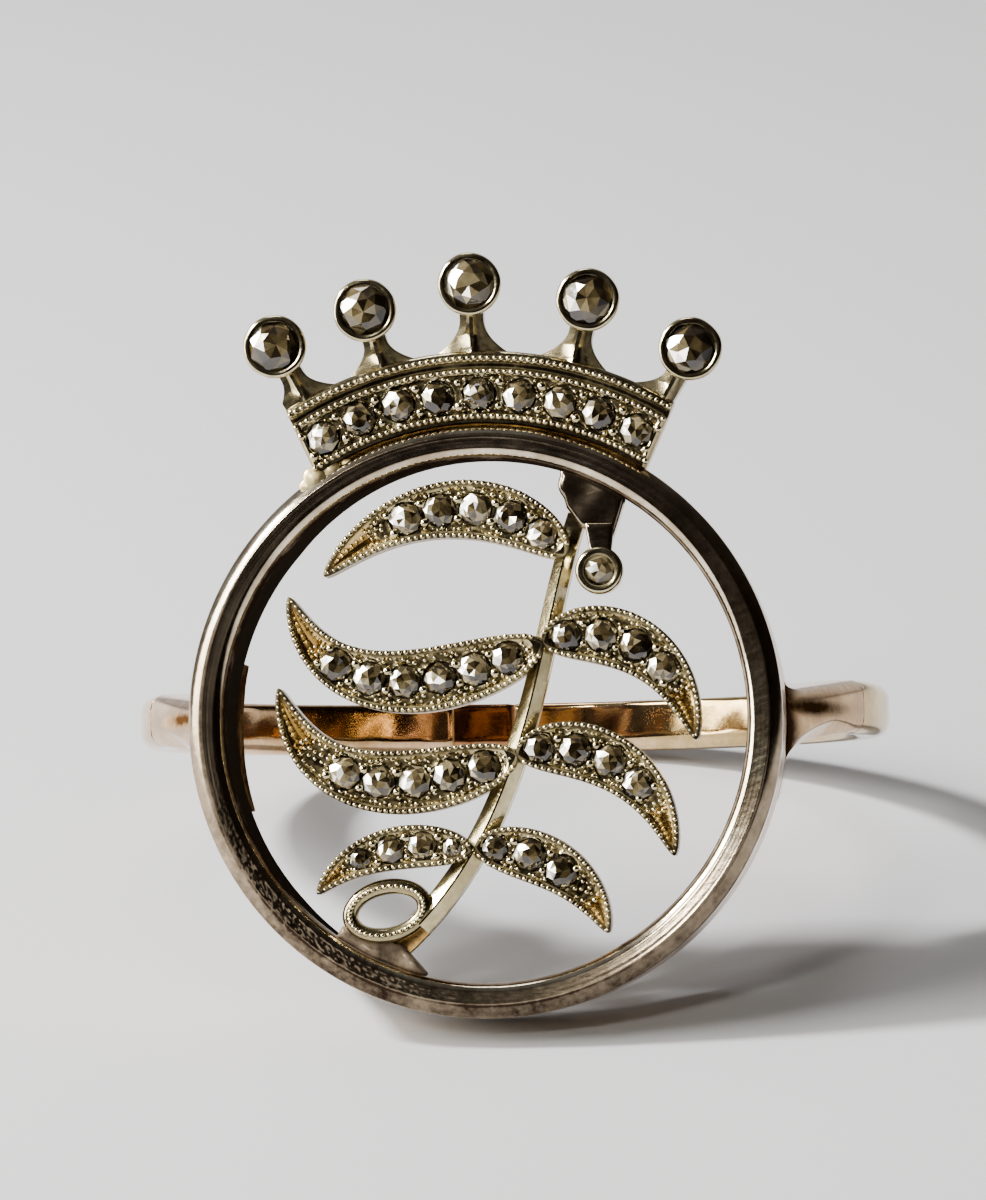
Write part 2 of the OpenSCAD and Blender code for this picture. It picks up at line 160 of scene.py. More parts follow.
def joined(parts):
    """Several (points, faces) or (points, faces, tint) shells as one."""
    points, faces, tints, start = [], [], [], 0
    for shell, quads, *tint in parts:
        points.append(shell)
        faces += [[i + start for i in f] for f in quads]
        tints.append(tint[0] if tint else np.zeros(len(shell)))
        start += len(shell)
    return np.concatenate(points), faces, np.concatenate(tints)


def grid_faces(rows, columns, wrap_rows=False, wrap_columns=True):
    """Quads over a grid of points given row by row."""
    r = np.arange(rows if wrap_rows else rows - 1)
    c = np.arange(columns if wrap_columns else columns - 1)
    r, c = [a.ravel() for a in np.meshgrid(r, c, indexing="ij")]
    r2, c2 = (r + 1) % rows, (c + 1) % columns
    quads = np.stack([r * columns + c, r * columns + c2, r2 * columns + c2, r2 * columns + c], 1)
    return quads.tolist()


def tube(rings, closed=False):
    """Rings of points, each a closed loop, as one shell with flat ends, or as a closed band."""
    rings = np.asarray(rings, float)
    rows, columns = rings.shape[:2]
    faces = grid_faces(rows, columns, wrap_rows=closed)
    if not closed:
        faces.append(list(range(columns))[::-1])
        faces.append([(rows - 1) * columns + i for i in range(columns)])
    points = rings.reshape(-1, 3)
    return points, outward(points, faces)


def outward(points, faces):
    """The same faces, turned so that the shell's volume is positive."""
    p = np.asarray(points)
    corners = np.array([(f[0], f[i], f[i + 1]) for f in faces for i in range(1, len(f) - 1)])
    a, b, c = p[corners[:, 0]], p[corners[:, 1]], p[corners[:, 2]]
    volume = (a * np.cross(b, c)).sum()
    return faces if volume > 0 else [list(f)[::-1] for f in faces]


def lathe(profile, turns):
    """A closed profile of (radius, height) turned round the Z axis."""
    angles = np.arange(turns) * TAU / turns
    r, z = np.array(profile, float).T
    rings = [np.outer(np.cos(angles), r), np.outer(np.sin(angles), r), np.tile(z, (turns, 1))]
    return tube(np.stack(rings, 2), closed=True)


def ball(r, flat=1.0, columns=8, rows=5):
    """A bead, flattened along Z."""
    points = [(0, 0, r * flat)]
    for a in math.pi * np.arange(1, rows) / rows:
        for b in TAU * np.arange(columns) / columns:
            away = r * math.sin(a)
            points.append((away * math.cos(b), away * math.sin(b), r * flat * math.cos(a)))
    points.append((0, 0, -r * flat))
    faces = [[0, 1 + j, 1 + (j + 1) % columns] for j in range(columns)]
    for i in range(rows - 2):
        a, b = 1 + i * columns, 1 + (i + 1) * columns
        faces += [[a + j, b + j, b + (j + 1) % columns, a + (j + 1) % columns] for j in range(columns)]
    last = 1 + (rows - 2) * columns
    faces += [[len(points) - 1, last + (j + 1) % columns, last + j] for j in range(columns)]
    return np.array(points), faces


BEAD = ball(1.0)


def beads(places, radii, flat=1.0):
    """Beads at the places, as shells."""
    return [(BEAD[0] * [r, r, r * flat] + place, BEAD[1]) for place, r in zip(places, radii)]


def turned(points, angle):
    """Points turned round the head's axis."""
    c, s = math.cos(angle), math.sin(angle)
    p = np.array(points, float)
    x, y = p[:, 0], p[:, 1]
    p[:, 0], p[:, 1] = c * x - s * y, s * x + c * y
    return p


def wobble(x, seed, waves=3, first=1):
    """A small smooth periodic wave between about -1 and 1, x in turns."""
    pick = np.random.default_rng(seed)
    total = np.zeros_like(np.asarray(x, float))
    for k in range(waves):
        total += pick.uniform(0.4, 1) * np.sin(TAU * ((k + first) * x + pick.uniform()))
    return total / waves


def smooth_step(x, low, high):
    """From 0 below low to 1 above high."""
    t = np.clip((x - low) / (high - low), 0, 1)
    return t * t * (3 - 2 * t)


def surface(field, low, high, step):
    """Closed surface where field(x, y, z) is zero, inside where it is below zero, by surface nets."""
    axes = [np.arange(low[i] - 2 * step, high[i] + 3 * step, step) for i in range(3)]
    shape = [len(a) for a in axes]
    value = field(*np.meshgrid(*axes, indexing="ij"))
    inside = value < 0
    cells = [n - 1 for n in shape]
    corner = {}
    total = np.zeros(cells, int)
    for at in np.ndindex(2, 2, 2):
        cut = tuple(slice(a, a + n) for a, n in zip(at, cells))
        corner[at] = value[cut]
        total += inside[cut]
    active = (total > 0) & (total < 8)
    index = -np.ones(cells, int)
    index[active] = np.arange(active.sum())
    where = np.argwhere(active)
    sums, counts = np.zeros((len(where), 3)), np.zeros(len(where))
    for a in corner:
        for axis in range(3):
            if a[axis]:
                continue
            b = tuple(1 if n == axis else a[n] for n in range(3))
            va, vb = corner[a][active], corner[b][active]
            cross = (va < 0) != (vb < 0)
            t = np.where(cross, va / np.where(cross, va - vb, 1), 0)
            sums += (np.array(a, float) + np.outer(t, np.eye(3)[axis])) * cross[:, None]
            counts += cross
    points = (where + sums / counts[:, None]) * step + [a[0] for a in axes]
    faces = []
    for axis in range(3):
        u, v = (axis + 1) % 3, (axis + 2) % 3
        first = [slice(1, n - 1) for n in shape]
        first[axis] = slice(0, shape[axis] - 1)
        second = list(first)
        second[axis] = slice(1, shape[axis])
        a, b = inside[tuple(first)], inside[tuple(second)]
        for change, flip in ((a & ~b, False), (~a & b, True)):
            at = np.argwhere(change) + [s.start for s in first]
            corners = []
            for du, dv in ((1, 1), (0, 1), (0, 0), (1, 0)):
                c = at.copy()
                c[:, u] -= du
                c[:, v] -= dv
                corners.append(index[c[:, 0], c[:, 1], c[:, 2]])
            quads = np.stack(corners, 1)
            faces += (quads[:, ::-1] if flip else quads).tolist()
    h = step * 0.2
    for _ in range(3):
        slopes = [field(*(points + d).T) - field(*(points - d).T) for d in h * np.eye(3)]
        g = np.stack(slopes, 1) / (2 * h)
        move = -(field(*points.T) / np.maximum((g**2).sum(1), 0.2))[:, None] * g
        points = points + np.clip(move, -0.4 * step, 0.4 * step)
    return points, outward(points, faces)


def union(a, b, soft):
    """Smooth union of two distance fields with a fillet of about the given radius."""
    h = np.clip(0.5 + 0.5 * (b - a) / soft, 0, 1)
    return b * (1 - h) + a * h - soft * h * (1 - h)


def minus(a, b, soft):
    return -union(-a, b, soft)


def both(a, b, soft):
    return -union(-a, -b, soft)


def polygon_field(x, y, corners):
    """Signed distance to a polygon."""
    best = np.full(np.shape(x), 1e9)
    sign = np.ones(np.shape(x))
    for i in range(len(corners)):
        (ax, ay), (bx, by) = corners[i], corners[i - 1]
        ex, ey = bx - ax, by - ay
        wx, wy = x - ax, y - ay
        t = np.clip((wx * ex + wy * ey) / (ex * ex + ey * ey), 0, 1)
        best = np.minimum(best, (wx - ex * t) ** 2 + (wy - ey * t) ** 2)
        up, down, turn = y >= ay, y < by, ex * wy > ey * wx
        flip = (up & down & turn) | (~up & ~down & ~turn)
        sign = np.where(flip, -sign, sign)
    return sign * np.sqrt(best)


def slab(z, low, high):
    return np.maximum(low - z, z - high)


# ---- Materials ----


class Graph:
    """The nodes of a material or a world, with short calls for the kinds used here."""

    def __init__(self, owner):
        owner.use_nodes = True
        self.nodes, self.links = owner.node_tree.nodes, owner.node_tree.links

    def give(self, value, socket):
        """A number, a colour or another node's output into a socket."""
        if isinstance(value, bpy.types.NodeSocket):
            self.links.new(value, socket)
        else:
            socket.default_value = value

    def math(self, operation, a, b, clamp=False):
        n = self.nodes.new("ShaderNodeMath")
        n.operation, n.use_clamp = operation, clamp
        self.give(a, n.inputs[0])
        self.give(b, n.inputs[1])
        return n.outputs[0]

    def total(self, *terms):
        """Sum of the terms, each a value and its factor."""
        result = 0.0
        for value, factor in terms:
            result = self.math("ADD", result, self.math("MULTIPLY", value, factor))
        return result

    def attribute(self, name):
        n = self.nodes.new("ShaderNodeAttribute")
        n.attribute_name = name
        return n.outputs["Fac"]

    def ramp(self, fac, stops):
        n = self.nodes.new("ShaderNodeValToRGB")
        self.links.new(fac, n.inputs[0])
        points = n.color_ramp.elements
        while len(points) < len(stops):
            points.new(0.5)
        for point, (place, colour) in zip(points, stops):
            point.position = place
            point.color = (*colour, 1)
        return n.outputs[0]

    def mix(self, fac, first, second):
        n = self.nodes.new("ShaderNodeMix")
        n.data_type = "RGBA"
        for value, socket in ((fac, 0), (first, 6), (second, 7)):
            self.give(value, n.inputs[socket])
        return n.outputs[2]

    def noise(self, scale, detail, rough=0.55, stretch=(1, 1, 1), angle=(0, 0, 0)):
        """Noise in the piece's own coordinates."""
        mapping = self.nodes.new("ShaderNodeMapping")
        mapping.inputs["Scale"].default_value = stretch
        mapping.inputs["Rotation"].default_value = angle
        where = self.nodes.new("ShaderNodeTexCoord").outputs["Object"]
        self.links.new(where, mapping.inputs["Vector"])
        n = self.nodes.new("ShaderNodeTexNoise")
        for key, value in (("Scale", scale), ("Detail", detail), ("Roughness", rough)):
            n.inputs[key].default_value = value
        self.links.new(mapping.outputs[0], n.inputs["Vector"])
        return n.outputs[0]


def shaded(name):
    """A new material, its graph and its shader's inputs."""
    material = bpy.data.materials.new(name)
    graph = Graph(material)
    return material, graph, graph.nodes["Principled BSDF"].inputs


GILDING = [(0.26, (0.82, 0.64, 0.32)), (0.55, (0.44, 0.31, 0.12)), (0.9, (0.05, 0.028, 0.01))]
# Tint from which a metal starts to turn dull and dark: oxide in its hollows, or painted shade where the tint
# carries shade
DULL_FROM = 0.35


def metal(name, bright, worn, dark, rough, patina_and_shade=0.5, grain=1.0):
    """Aged polished metal: bright where worn, dark where the tint is high, which is patina in the corners and
    on some pieces painted shade, with fine scratches and small pits.
    """
    material, graph, shader = shaded(name)
    age_and_shade = graph.attribute("tint")
    specks = graph.noise(6000, 2, 0.6)
    shade = graph.total((graph.noise(900, 4), 0.55), (specks, 0.25), (age_and_shade, patina_and_shade))
    colour = graph.ramp(shade, [(0.26, bright), (0.5, worn), (0.95, dark)])
    colour = graph.mix(graph.attribute("gilt"), colour, graph.ramp(shade, GILDING))
    graph.give(colour, shader["Base Color"])
    dullness = graph.math("MULTIPLY", graph.math("SUBTRACT", age_and_shade, DULL_FROM, clamp=True), -2.0)
    graph.give(graph.math("ADD", dullness, 1.0, clamp=True), shader["Metallic"])
    shader["Specular IOR Level"].default_value = 0
    scratches = graph.noise(2500, 2, 0.7, (1, 8, 1), (0.3, 0.5, 0.9))
    uneven = graph.total((scratches, 0.08 + 0.14 * grain), (age_and_shade, 0.18))
    graph.give(graph.math("ADD", uneven, rough - 0.04, clamp=True), shader["Roughness"])
    bump = graph.nodes.new("ShaderNodeBump")
    bump.inputs["Strength"].default_value = 0.25 * grain
    bump.inputs["Distance"].default_value = 0.02 * MM
    graph.give(graph.total((specks, 1.0), (scratches, 0.6)), bump.inputs["Height"])
    graph.give(bump.outputs[0], shader["Normal"])
    return material


def diamond(name):
    """Old cut diamond with painted facets: a painted white flash on some, a painted dark reflection of the
    seat on others, and some stones are smoky.
    """
    material, graph, shader = shaded(name)
    smoke, facet = graph.attribute("tint"), graph.attribute("facet")
    shade = graph.total((smoke, -0.25), (facet, 1.0), (graph.noise(3500, 2), 0.25))
    # Dark to khaki stops are painted reflections; the white stop is the painted flash
    stops = [(0.14, (0.015, 0.010, 0.005)), (0.36, (0.11, 0.080, 0.034)), (0.60, (0.38, 0.31, 0.17))]
    stops += [(0.66, (1.0, 0.98, 0.92))]
    graph.give(graph.ramp(shade, stops), shader["Base Color"])
    painted_flash = graph.math("MULTIPLY", graph.math("SUBTRACT", shade, 0.6), 12, clamp=True)
    graph.give(graph.math("ADD", graph.math("MULTIPLY", painted_flash, 0.5), 0.45), shader["Metallic"])
    graph.give(graph.math("ADD", graph.math("MULTIPLY", painted_flash, 0.30), 0.05), shader["Roughness"])
    shader["IOR"].default_value = 2.3
    shader["Transmission Weight"].default_value = 0.1
    return material


TARNISH = (0.010, 0.007, 0.004)
WHITE = metal("white_metal", (0.74, 0.66, 0.43), (0.42, 0.35, 0.20), TARNISH, 0.10, 0.62, 0.5)
LEAF_METAL = metal("white_metal_cut", (0.78, 0.69, 0.44), (0.44, 0.37, 0.20), TARNISH, 0.09, 0.6, 0.5)
CAP = metal("white_metal_cap", (0.80, 0.72, 0.55), (0.42, 0.33, 0.23), (0.020, 0.012, 0.008), 0.09, 0.6, 0.25)
TUBE = metal("rose_gold_tube", (0.74, 0.52, 0.30), (0.44, 0.28, 0.14), (0.022, 0.017, 0.013), 0.18, 0.9, 0.7)
ROSE = metal("rose_gold", (0.84, 0.58, 0.36), (0.48, 0.30, 0.14), (0.04, 0.018, 0.006), 0.07, 0.6, 0.15)
RED = metal("red_gold", (0.50, 0.24, 0.11), (0.24, 0.10, 0.04), (0.03, 0.011, 0.005), 0.08, 0.42, 0.2)
YELLOW = metal("yellow_gold", (0.76, 0.50, 0.18), (0.46, 0.27, 0.08), (0.04, 0.02, 0.006), 0.22, 0.5)
SOLDER = metal("solder", (0.80, 0.68, 0.38), (0.56, 0.45, 0.22), (0.10, 0.07, 0.03), 0.24, 0.5, 1.4)
STONE = diamond("diamond")

# ---- Shank ----

SHANK_EDGE, UPPER_BEVEL, LOWER_BEVEL = 0.43, 0.14, 0.42
SEAM = 0.022


def ring_section():
    """Section of the shank as a closed loop of (radius, height)."""
    top = SHANK_HALF

    def inner(bevel):
        angles = np.linspace(0, math.pi / 2, 8)
        return [(BORE_R + bevel * (1 - math.cos(a)), top - bevel * (1 - math.sin(a))) for a in angles]

    outer = [((BORE_R + SHANK_R) / 2 + 0.05, top)]
    for a in np.linspace(0, math.pi / 2, 9):
        outer.append((SHANK_R - SHANK_EDGE * (1 - math.sin(a)), top - SHANK_EDGE * (1 - math.cos(a))))
    middle = [(SHANK_R, y) for y in (0.2, 0.0, -0.2)]
    lower = [(r, -y) for r, y in (inner(LOWER_BEVEL) + outer)[::-1]]
    inside = [(BORE_R, y) for y in np.linspace(LOWER_BEVEL - top, top - UPPER_BEVEL, 9)[1:-1]]
    return np.array(inner(UPPER_BEVEL) + outer + middle + lower + inside)


def node_angles(node):
    """Where a shank piece starts and ends, as angles round the finger from the back."""
    points = head_points(node)
    angles = np.arctan2(points[:, 0], -points[:, 2])
    return angles.min(), angles.max()


def shank(node, material, slot, seed):
    """A length of the shank, a little uneven, worn inside, and narrower at the resizing piece's seams."""
    radius, height = ring_section().T
    middle = (BORE_R + SHANK_R) / 2
    start, end = node_angles(node)
    steps = max(12, int((end - start) / TAU * 720))
    rings, tints, gilts = [], [], []
    for i, a in enumerate(np.linspace(start, end, steps)):
        off = i if abs(start) < abs(end) else steps - 1 - i
        if abs(start + end) < 0.1:
            off = min(i, steps - 1 - i)
        narrow = 1 - 2 * SEAM * max(0, 1 - off / 2)
        turn = a / TAU
        waves = np.sin(27 * a + 2.2 * height + seed) + np.sin(43 * a - 3.1 * height + 2 * seed)
        r = radius + 0.012 * wobble(turn * 3, seed) + 0.0035 * waves * (radius < BORE_R + 0.1)
        r = middle + (r - middle) * narrow
        y = height * (1 + 0.012 * wobble(turn * 4, seed + 1)) * narrow + HEAD_DROP
        rings.append(np.stack([r * math.sin(a), y, -r * math.cos(a)], 1))
        dull = 0.14 + 0.12 * float(wobble(turn * 5, seed + 2, 4))
        tints.append((radius < BORE_R + 0.03) * dull + {0: 0.6, 1: 0.2}.get(off, 0.0))
        gilts.append(np.full(len(radius), 0.75 * float(smooth_step(a, 0.15, 0.5))))
    points, faces = tube(rings)
    made(node, points, faces, material, slot, [node], 40, np.concatenate(tints), np.concatenate(gilts))


shank("shank_left", ROSE, "rose_gold", 11)
shank("shank_right", ROSE, "rose_gold", 23)
shank("sizing_insert", RED, "red_gold", 31)

# ---- Shoulders ----

SHOULDER_SEAM = node_angles("shank_right")[1]
# Radius of the arm's outer side, and where its edges meet the tube
SHOULDER_R, SHOULDER_BELOW, SHOULDER_ABOVE = 60.0, 1.4, 0.65
SHOE_ABOVE, SHOE_BELOW = 1.7, 2.1


def shoulder_field(x, y, z):
    """Right shoulder: an arm from the shank that spreads down to the tube, and a foot behind the tube."""
    seam = np.array([math.sin(SHOULDER_SEAM), -math.cos(SHOULDER_SEAM)])
    centre = (SHANK_R - SHOULDER_R) * seam
    outer = np.hypot(x - centre[0], z - centre[1]) - SHOULDER_R
    behind = seam[1] * x - seam[0] * z
    seam_z = SHANK_R * seam[1]
    end_z = TUBE_BACK_Z + 0.8
    t = np.clip((z - seam_z) / (end_z - seam_z), 0, 1.2)
    top, bottom = HEAD_DROP + SHANK_HALF, HEAD_DROP - SHANK_HALF
    above = y - (top + (SHOULDER_ABOVE - top) * t)
    below = (bottom + (-SHOULDER_BELOW - bottom) * (0.25 * t + 0.75 * t**3)) - y
    facet = (outer + below + 0.18 + 0.3 * np.clip(t * 2.5, 0, 1)) / math.sqrt(2)
    arm = both(both(both(outer, both(above, below, 0.08), 0.5), facet, 0.03), behind, 0.02)
    away = np.hypot(x, y)
    shoe = both(away - (FRAME_R - 0.02), both(y - SHOE_ABOVE, -SHOE_BELOW - y, 0.2), 0.08)
    shoe = both(both(shoe, z - TUBE_BACK_Z, 0.02), TUBE_IN_R - away, 0.06)
    whole = union(arm, both(shoe, -x, 0.02), 0.25)
    tube_space = both(away - FRAME_R, TUBE_BACK_Z - z, 0.02)
    whole = minus(whole, both(TUBE_IN_R - away, tube_space, 0.02), 0.02)
    whole = minus(whole, away - TUBE_IN_R, 0.05)
    return minus(whole, np.hypot(x, z) - BORE_R, 0.06)


def shoulders():
    corners = head_points("shoulder_right")
    points, faces = surface(shoulder_field, corners.min(0) - 0.05, corners.max(0) + 0.05, 0.055)
    away, y = np.hypot(points[:, 0], points[:, 1]), points[:, 1]
    # Painted shade and painted dark reflection: darker next to the frame, along the arm's upper part and
    # inside the tube
    frame_shade = np.exp(-(((away - FRAME_R) / 0.35) ** 2)) * (points[:, 2] > TUBE_BACK_Z - 0.6)
    upper = np.exp(-(((y - 0.3) / 0.27) ** 2)) * np.clip(1.7 - (away - FRAME_R) / 1.2, 0, 1)
    painted_shade = np.maximum(0.95 * frame_shade, upper * (away > FRAME_R))
    painted_shade = np.maximum(painted_shade, 0.95 * (away < TUBE_IN_R + 0.12))
    made("shoulder_right", points, faces, ROSE, "rose_gold", ["shoulder_right"], 60, painted_shade)
    # Painted shade patch on the left shoulder's arm, a little out from the frame
    patch = np.exp(-(((away - FRAME_R - 0.8) / 0.4) ** 2) - ((y - 0.3) / 0.28) ** 2)
    painted_shade = np.maximum(painted_shade * 0.9, 0.9 * patch)
    points = points * [-1, 1, 1]
    made("shoulder_left", points, outward(points, faces), ROSE, "rose_gold", ["shoulder_left"], 60, painted_shade)


shoulders()

# ---- Round frame ----

OUTER_BEVEL, INNER_BEVEL, FACE_FALL = 0.28, 0.2, 0.08
# Middle and width, in turns from the right, of the cap's pitted part
PITS_AT, PITS_WIDE = 0.64, 0.07


def cap_profile():
    """Section of the cap, (radius, height): rounded outer edge, falling face, bevel at the opening."""
    edge, flat_r = FRAME_Z - FACE_FALL, FRAME_R - OUTER_BEVEL
    profile = [(OPENING_R, CAP_BACK_Z), (FRAME_R, CAP_BACK_Z), (FRAME_R, CAP_BACK_Z + 0.35)]
    profile += [(FRAME_R, FRAME_Z - OUTER_BEVEL), (FRAME_R - 0.02, FRAME_Z - OUTER_BEVEL + 0.04)]
    profile += [(FRAME_R - 0.13, FRAME_Z - 0.14), (flat_r + 0.02, FRAME_Z - 0.025)]
    profile += [(flat_r - 0.04, FRAME_Z - 0.003)]
    flat = np.linspace(flat_r - 0.1, OPENING_R + INNER_BEVEL + 0.06, 8)
    profile += list(zip(flat, FRAME_Z - np.linspace(0.02, FACE_FALL - 0.01, 8)))
    profile += [(OPENING_R + INNER_BEVEL, edge), (OPENING_R + INNER_BEVEL * 0.5, edge - INNER_BEVEL * 0.42)]
    profile += [(OPENING_R + 0.02, edge - INNER_BEVEL * 0.9), (OPENING_R, edge - INNER_BEVEL - 0.06)]
    return np.array(profile + [(OPENING_R, CAP_BACK_Z + 0.3)])


def frame_cap():
    """White metal face, brown on the flat with painted shade that changes from side to side, bright at the
    bevels but with painted shade on their bottom and right, and black in the opening.
    """
    radius, height = cap_profile().T
    count, turns = len(radius), 600
    front = np.clip((height - CAP_BACK_Z - 0.3) / 0.3, 0, 1)
    inside = radius < OPENING_R + 0.03
    flat = (radius > OPENING_R + INNER_BEVEL + 0.01) & (radius < FRAME_R - OUTER_BEVEL)
    bevel = (radius > FRAME_R - OUTER_BEVEL - 0.05) & (height > FRAME_Z - OUTER_BEVEL + 0.02)
    rings, tints = [], []
    for i in range(turns):
        turn = i / turns
        angle = TAU * turn
        pitted = math.exp(-(((turn - PITS_AT) / PITS_WIDE) ** 2))
        streaks = np.array([float(wobble(turn, 40 + k, 4, 2)) for k in range(count)])
        r = radius - 0.008 * front * (1 + wobble(turn, 3, 5, 2))
        z = height - 0.008 * front * (1 + wobble(turn, 4, 6, 3)) - 0.004 * front * (1 + streaks)
        z = z - (0.001 + 0.03 * pitted) * front * dice.uniform(0, 1, count)
        rings.append(np.stack([r * math.cos(angle), r * math.sin(angle), z], 1))
        patch = max(0.0, -math.sin(angle + 0.4 * float(wobble(turn, 8, 6, 9))) - 0.6)
        # The flat's tint: real pits, plus painted light and shade that changes from right to left, and streaks
        # that paint streaky reflections
        face_tone_and_shade = 0.28 - 0.12 * math.cos(angle) + 0.16 * streaks + 0.3 * pitted * dice.uniform(-1, 1, count)
        # Painted shade on the bevel, towards the bottom and on the right
        painted_bevel_shade = 0.64 * max(0.0, 0.25 - math.sin(angle + 0.3)) + 0.2 * max(0.0, math.cos(angle))
        painted_bevel_shade = painted_bevel_shade + 0.12 * streaks * (painted_bevel_shade > 0.05)
        tints.append(np.clip((0.95 - 1.8 * patch) * inside + face_tone_and_shade * flat * front + painted_bevel_shade * bevel, 0, 1))
    points, faces = tube(rings, closed=True)
    made("frame_rim", points, faces, CAP, "white_metal", ["frame_rim"], 50, np.concatenate(tints))


def frame_tube():
    """Gold tube with its back cut to the finger's curve."""
    turns, soft = 480, 0.05
    rings, tints = [], []
    for i in range(turns):
        angle = TAU * i / turns
        c, s = math.cos(angle), math.sin(angle)

        def back(r):
            return max(TUBE_BACK_Z, math.sqrt(max(0.0, BORE_R**2 - (r * c) ** 2)))

        outer_z, inner_z = back(FRAME_R) + soft, back(TUBE_IN_R) + soft
        loop = [(FRAME_R - 0.006, z) for z in np.linspace(outer_z, CAP_BACK_Z, 11)]
        loop += [(TUBE_IN_R, z) for z in np.linspace(CAP_BACK_Z, inner_z, 11)]
        for k in (0.12, 0.5, 0.88):
            r = TUBE_IN_R + (FRAME_R - TUBE_IN_R) * k
            loop.append((r, back(r)))
        r, z = np.array(loop).T
        rings.append(np.stack([r * c, r * s, z], 1))
        tints.append(0.4 * np.exp(-(CAP_BACK_Z - z) / 0.12) + 0.95 * (r < TUBE_IN_R + 0.01))
    points, faces = tube(rings, closed=True)
    made("frame_wall", points, faces, TUBE, "rose_gold", ["frame_wall"], 50, np.concatenate(tints))


frame_cap()
frame_tube()

# ---- Stones ----


def cut_stone(r, dome, turn, sides=8):
    """An old single cut: table, star and kite facets above the girdle, and a shallow pavilion."""
    depth, high = 0.72 * r, dome * r
    levels = [(0.50 * r, high, 0), (0.78 * r, high * 0.5, 0.5), (r, 0.0, 0), (r, -0.05, 0)]
    levels.append((0.3 * r, -depth, 0.5))
    points = [(0, 0, high)]
    for radius, z, half in levels:
        for j in range(sides):
            a = TAU * (j + half) / sides + turn
            points.append((radius * math.cos(a), radius * math.sin(a), z))
    points.append((0, 0, -depth))
    n = sides

    def at(level, j):
        return 1 + level * n + j % n

    faces = [[0, at(0, j), at(0, j + 1)] for j in range(n)]
    for j in range(n):
        faces.append([at(0, j), at(1, j), at(0, j + 1)])
        faces.append([at(1, j), at(0, j + 1), at(1, j + 1)][::-1])
        faces.append([at(1, j), at(2, j), at(2, j + 1)])
        faces.append([at(1, j - 1), at(2, j), at(1, j)])
        faces.append([at(2, j), at(3, j), at(3, j + 1), at(2, j + 1)])
        faces.append([at(3, j), at(4, j), at(3, j + 1)])
        faces.append([at(4, j), at(4, j + 1), at(3, j + 1)])
        faces.append([at(4, j), len(points) - 1, at(4, j + 1)])
    return np.array(points), faces


def set_stone(place, r, dome, seed):
    """A stone in its seat, turned and tipped a little, as hand set stones are."""
    pick = np.random.default_rng(seed)
    points, faces = cut_stone(r, dome * pick.uniform(0.85, 1.15), pick.uniform(0, TAU))
    tip_x, tip_y = pick.uniform(-0.16, 0.16), pick.uniform(-0.16, 0.16)
    tip = Matrix.Rotation(tip_x, 3, "X") @ Matrix.Rotation(tip_y, 3, "Y")
    crown = points[:, 2] > 0.01
    points[crown] += pick.uniform(-0.05, 0.05, (crown.sum(), 3)) * r
    return points @ np.array(tip).T + place, faces, np.full(len(points), pick.uniform(0, 1) ** 1.5)


# ---- Relief: a plate with a shaped top, plain walls and a flat back ----


def relief(xy, top, bottom):
    """Closed plate over a grid of (x, y) points with heights top, down to bottom."""
    rows, columns = top.shape
    upper = np.concatenate([xy, top[..., None]], 2).reshape(-1, 3)
    lower = np.concatenate([xy, np.broadcast_to(bottom, top.shape)[..., None]], 2).reshape(-1, 3)
    faces = grid_faces(rows, columns, False, False)
    n = rows * columns
    faces += [[i + n for i in f[::-1]] for f in faces]
    border = list(range(columns))
    border += [r * columns + columns - 1 for r in range(1, rows)]
    border += [(rows - 1) * columns + c for c in range(columns - 2, -1, -1)]
    border += [r * columns for r in range(rows - 2, 0, -1)]
    faces += [[b, a, a + n, b + n] for a, b in zip(border, border[1:] + border[:1])]
    points = np.concatenate([upper, lower])
    return points, outward(points, faces)


def dish(x, y, stones, floor, rim):
    """How far the plate's top is cut away at (x, y) round the stones: 0 to 1."""
    cut = np.zeros(np.shape(x))
    for sx, sy, r in stones:
        cut = np.maximum(cut, 1 - smooth_step(np.hypot(x - sx, y - sy), r * floor, r * rim))
    return cut


# ---- Crown ----

POINTS = 5
plate_points = head_points("crown_plate")
plate_away = np.hypot(plate_points[:, 0], plate_points[:, 1])
CROWN_TOP_HALF = plate_points[plate_away > BAND_TOP_R - 0.02][:, 0].max()
CROWN_FOOT_HALF = plate_points[plate_away < FRAME_R + 0.02][:, 0].max()


RAILS = {name: sum(reach(f"crown_rail_{name}")) / 2 for name in ("top", "upper", "lower")}
RAIL_TOP, RAIL_UPPER, RAIL_LOWER = RAILS.values()
RAIL_W = np.ptp(reach("crown_rail_top"))
STONE_ROW = (RAIL_UPPER + RAIL_LOWER) / 2
GROOVE_R = (RAIL_TOP + RAIL_UPPER) / 2


def band_half(r):
    """Half width of the crown's band at a distance r from the frame's centre."""
    t = (r - FRAME_R) / (BAND_TOP_R - FRAME_R)
    return CROWN_FOOT_HALF + (CROWN_TOP_HALF - CROWN_FOOT_HALF) * t


BAND_STONES = 9
BAND_PITCH = math.radians(7.2)
STONE_R = 0.42
# Height of a stone over its radius, in the pavé and in the crown's points
DOME, POINT_DOME = 0.36, 0.40
band_angles = [((BAND_STONES - 1) / 2 - i) * BAND_PITCH for i in range(BAND_STONES)]
band_places = [(-STONE_ROW * math.sin(a), STONE_ROW * math.cos(a), STONE_R) for a in band_angles]


def cut_marks(x, y, seed):
    """Small uneven marks of the graver, between about -1 and 1."""
    pick = np.random.default_rng(seed)
    total = 0.0
    for _ in range(5):
        a, k, p = pick.uniform(0, TAU), pick.uniform(22, 48), pick.uniform(0, TAU)
        total = total + np.sin(k * (x * math.cos(a) + y * math.sin(a)) + p)
    return total / 5


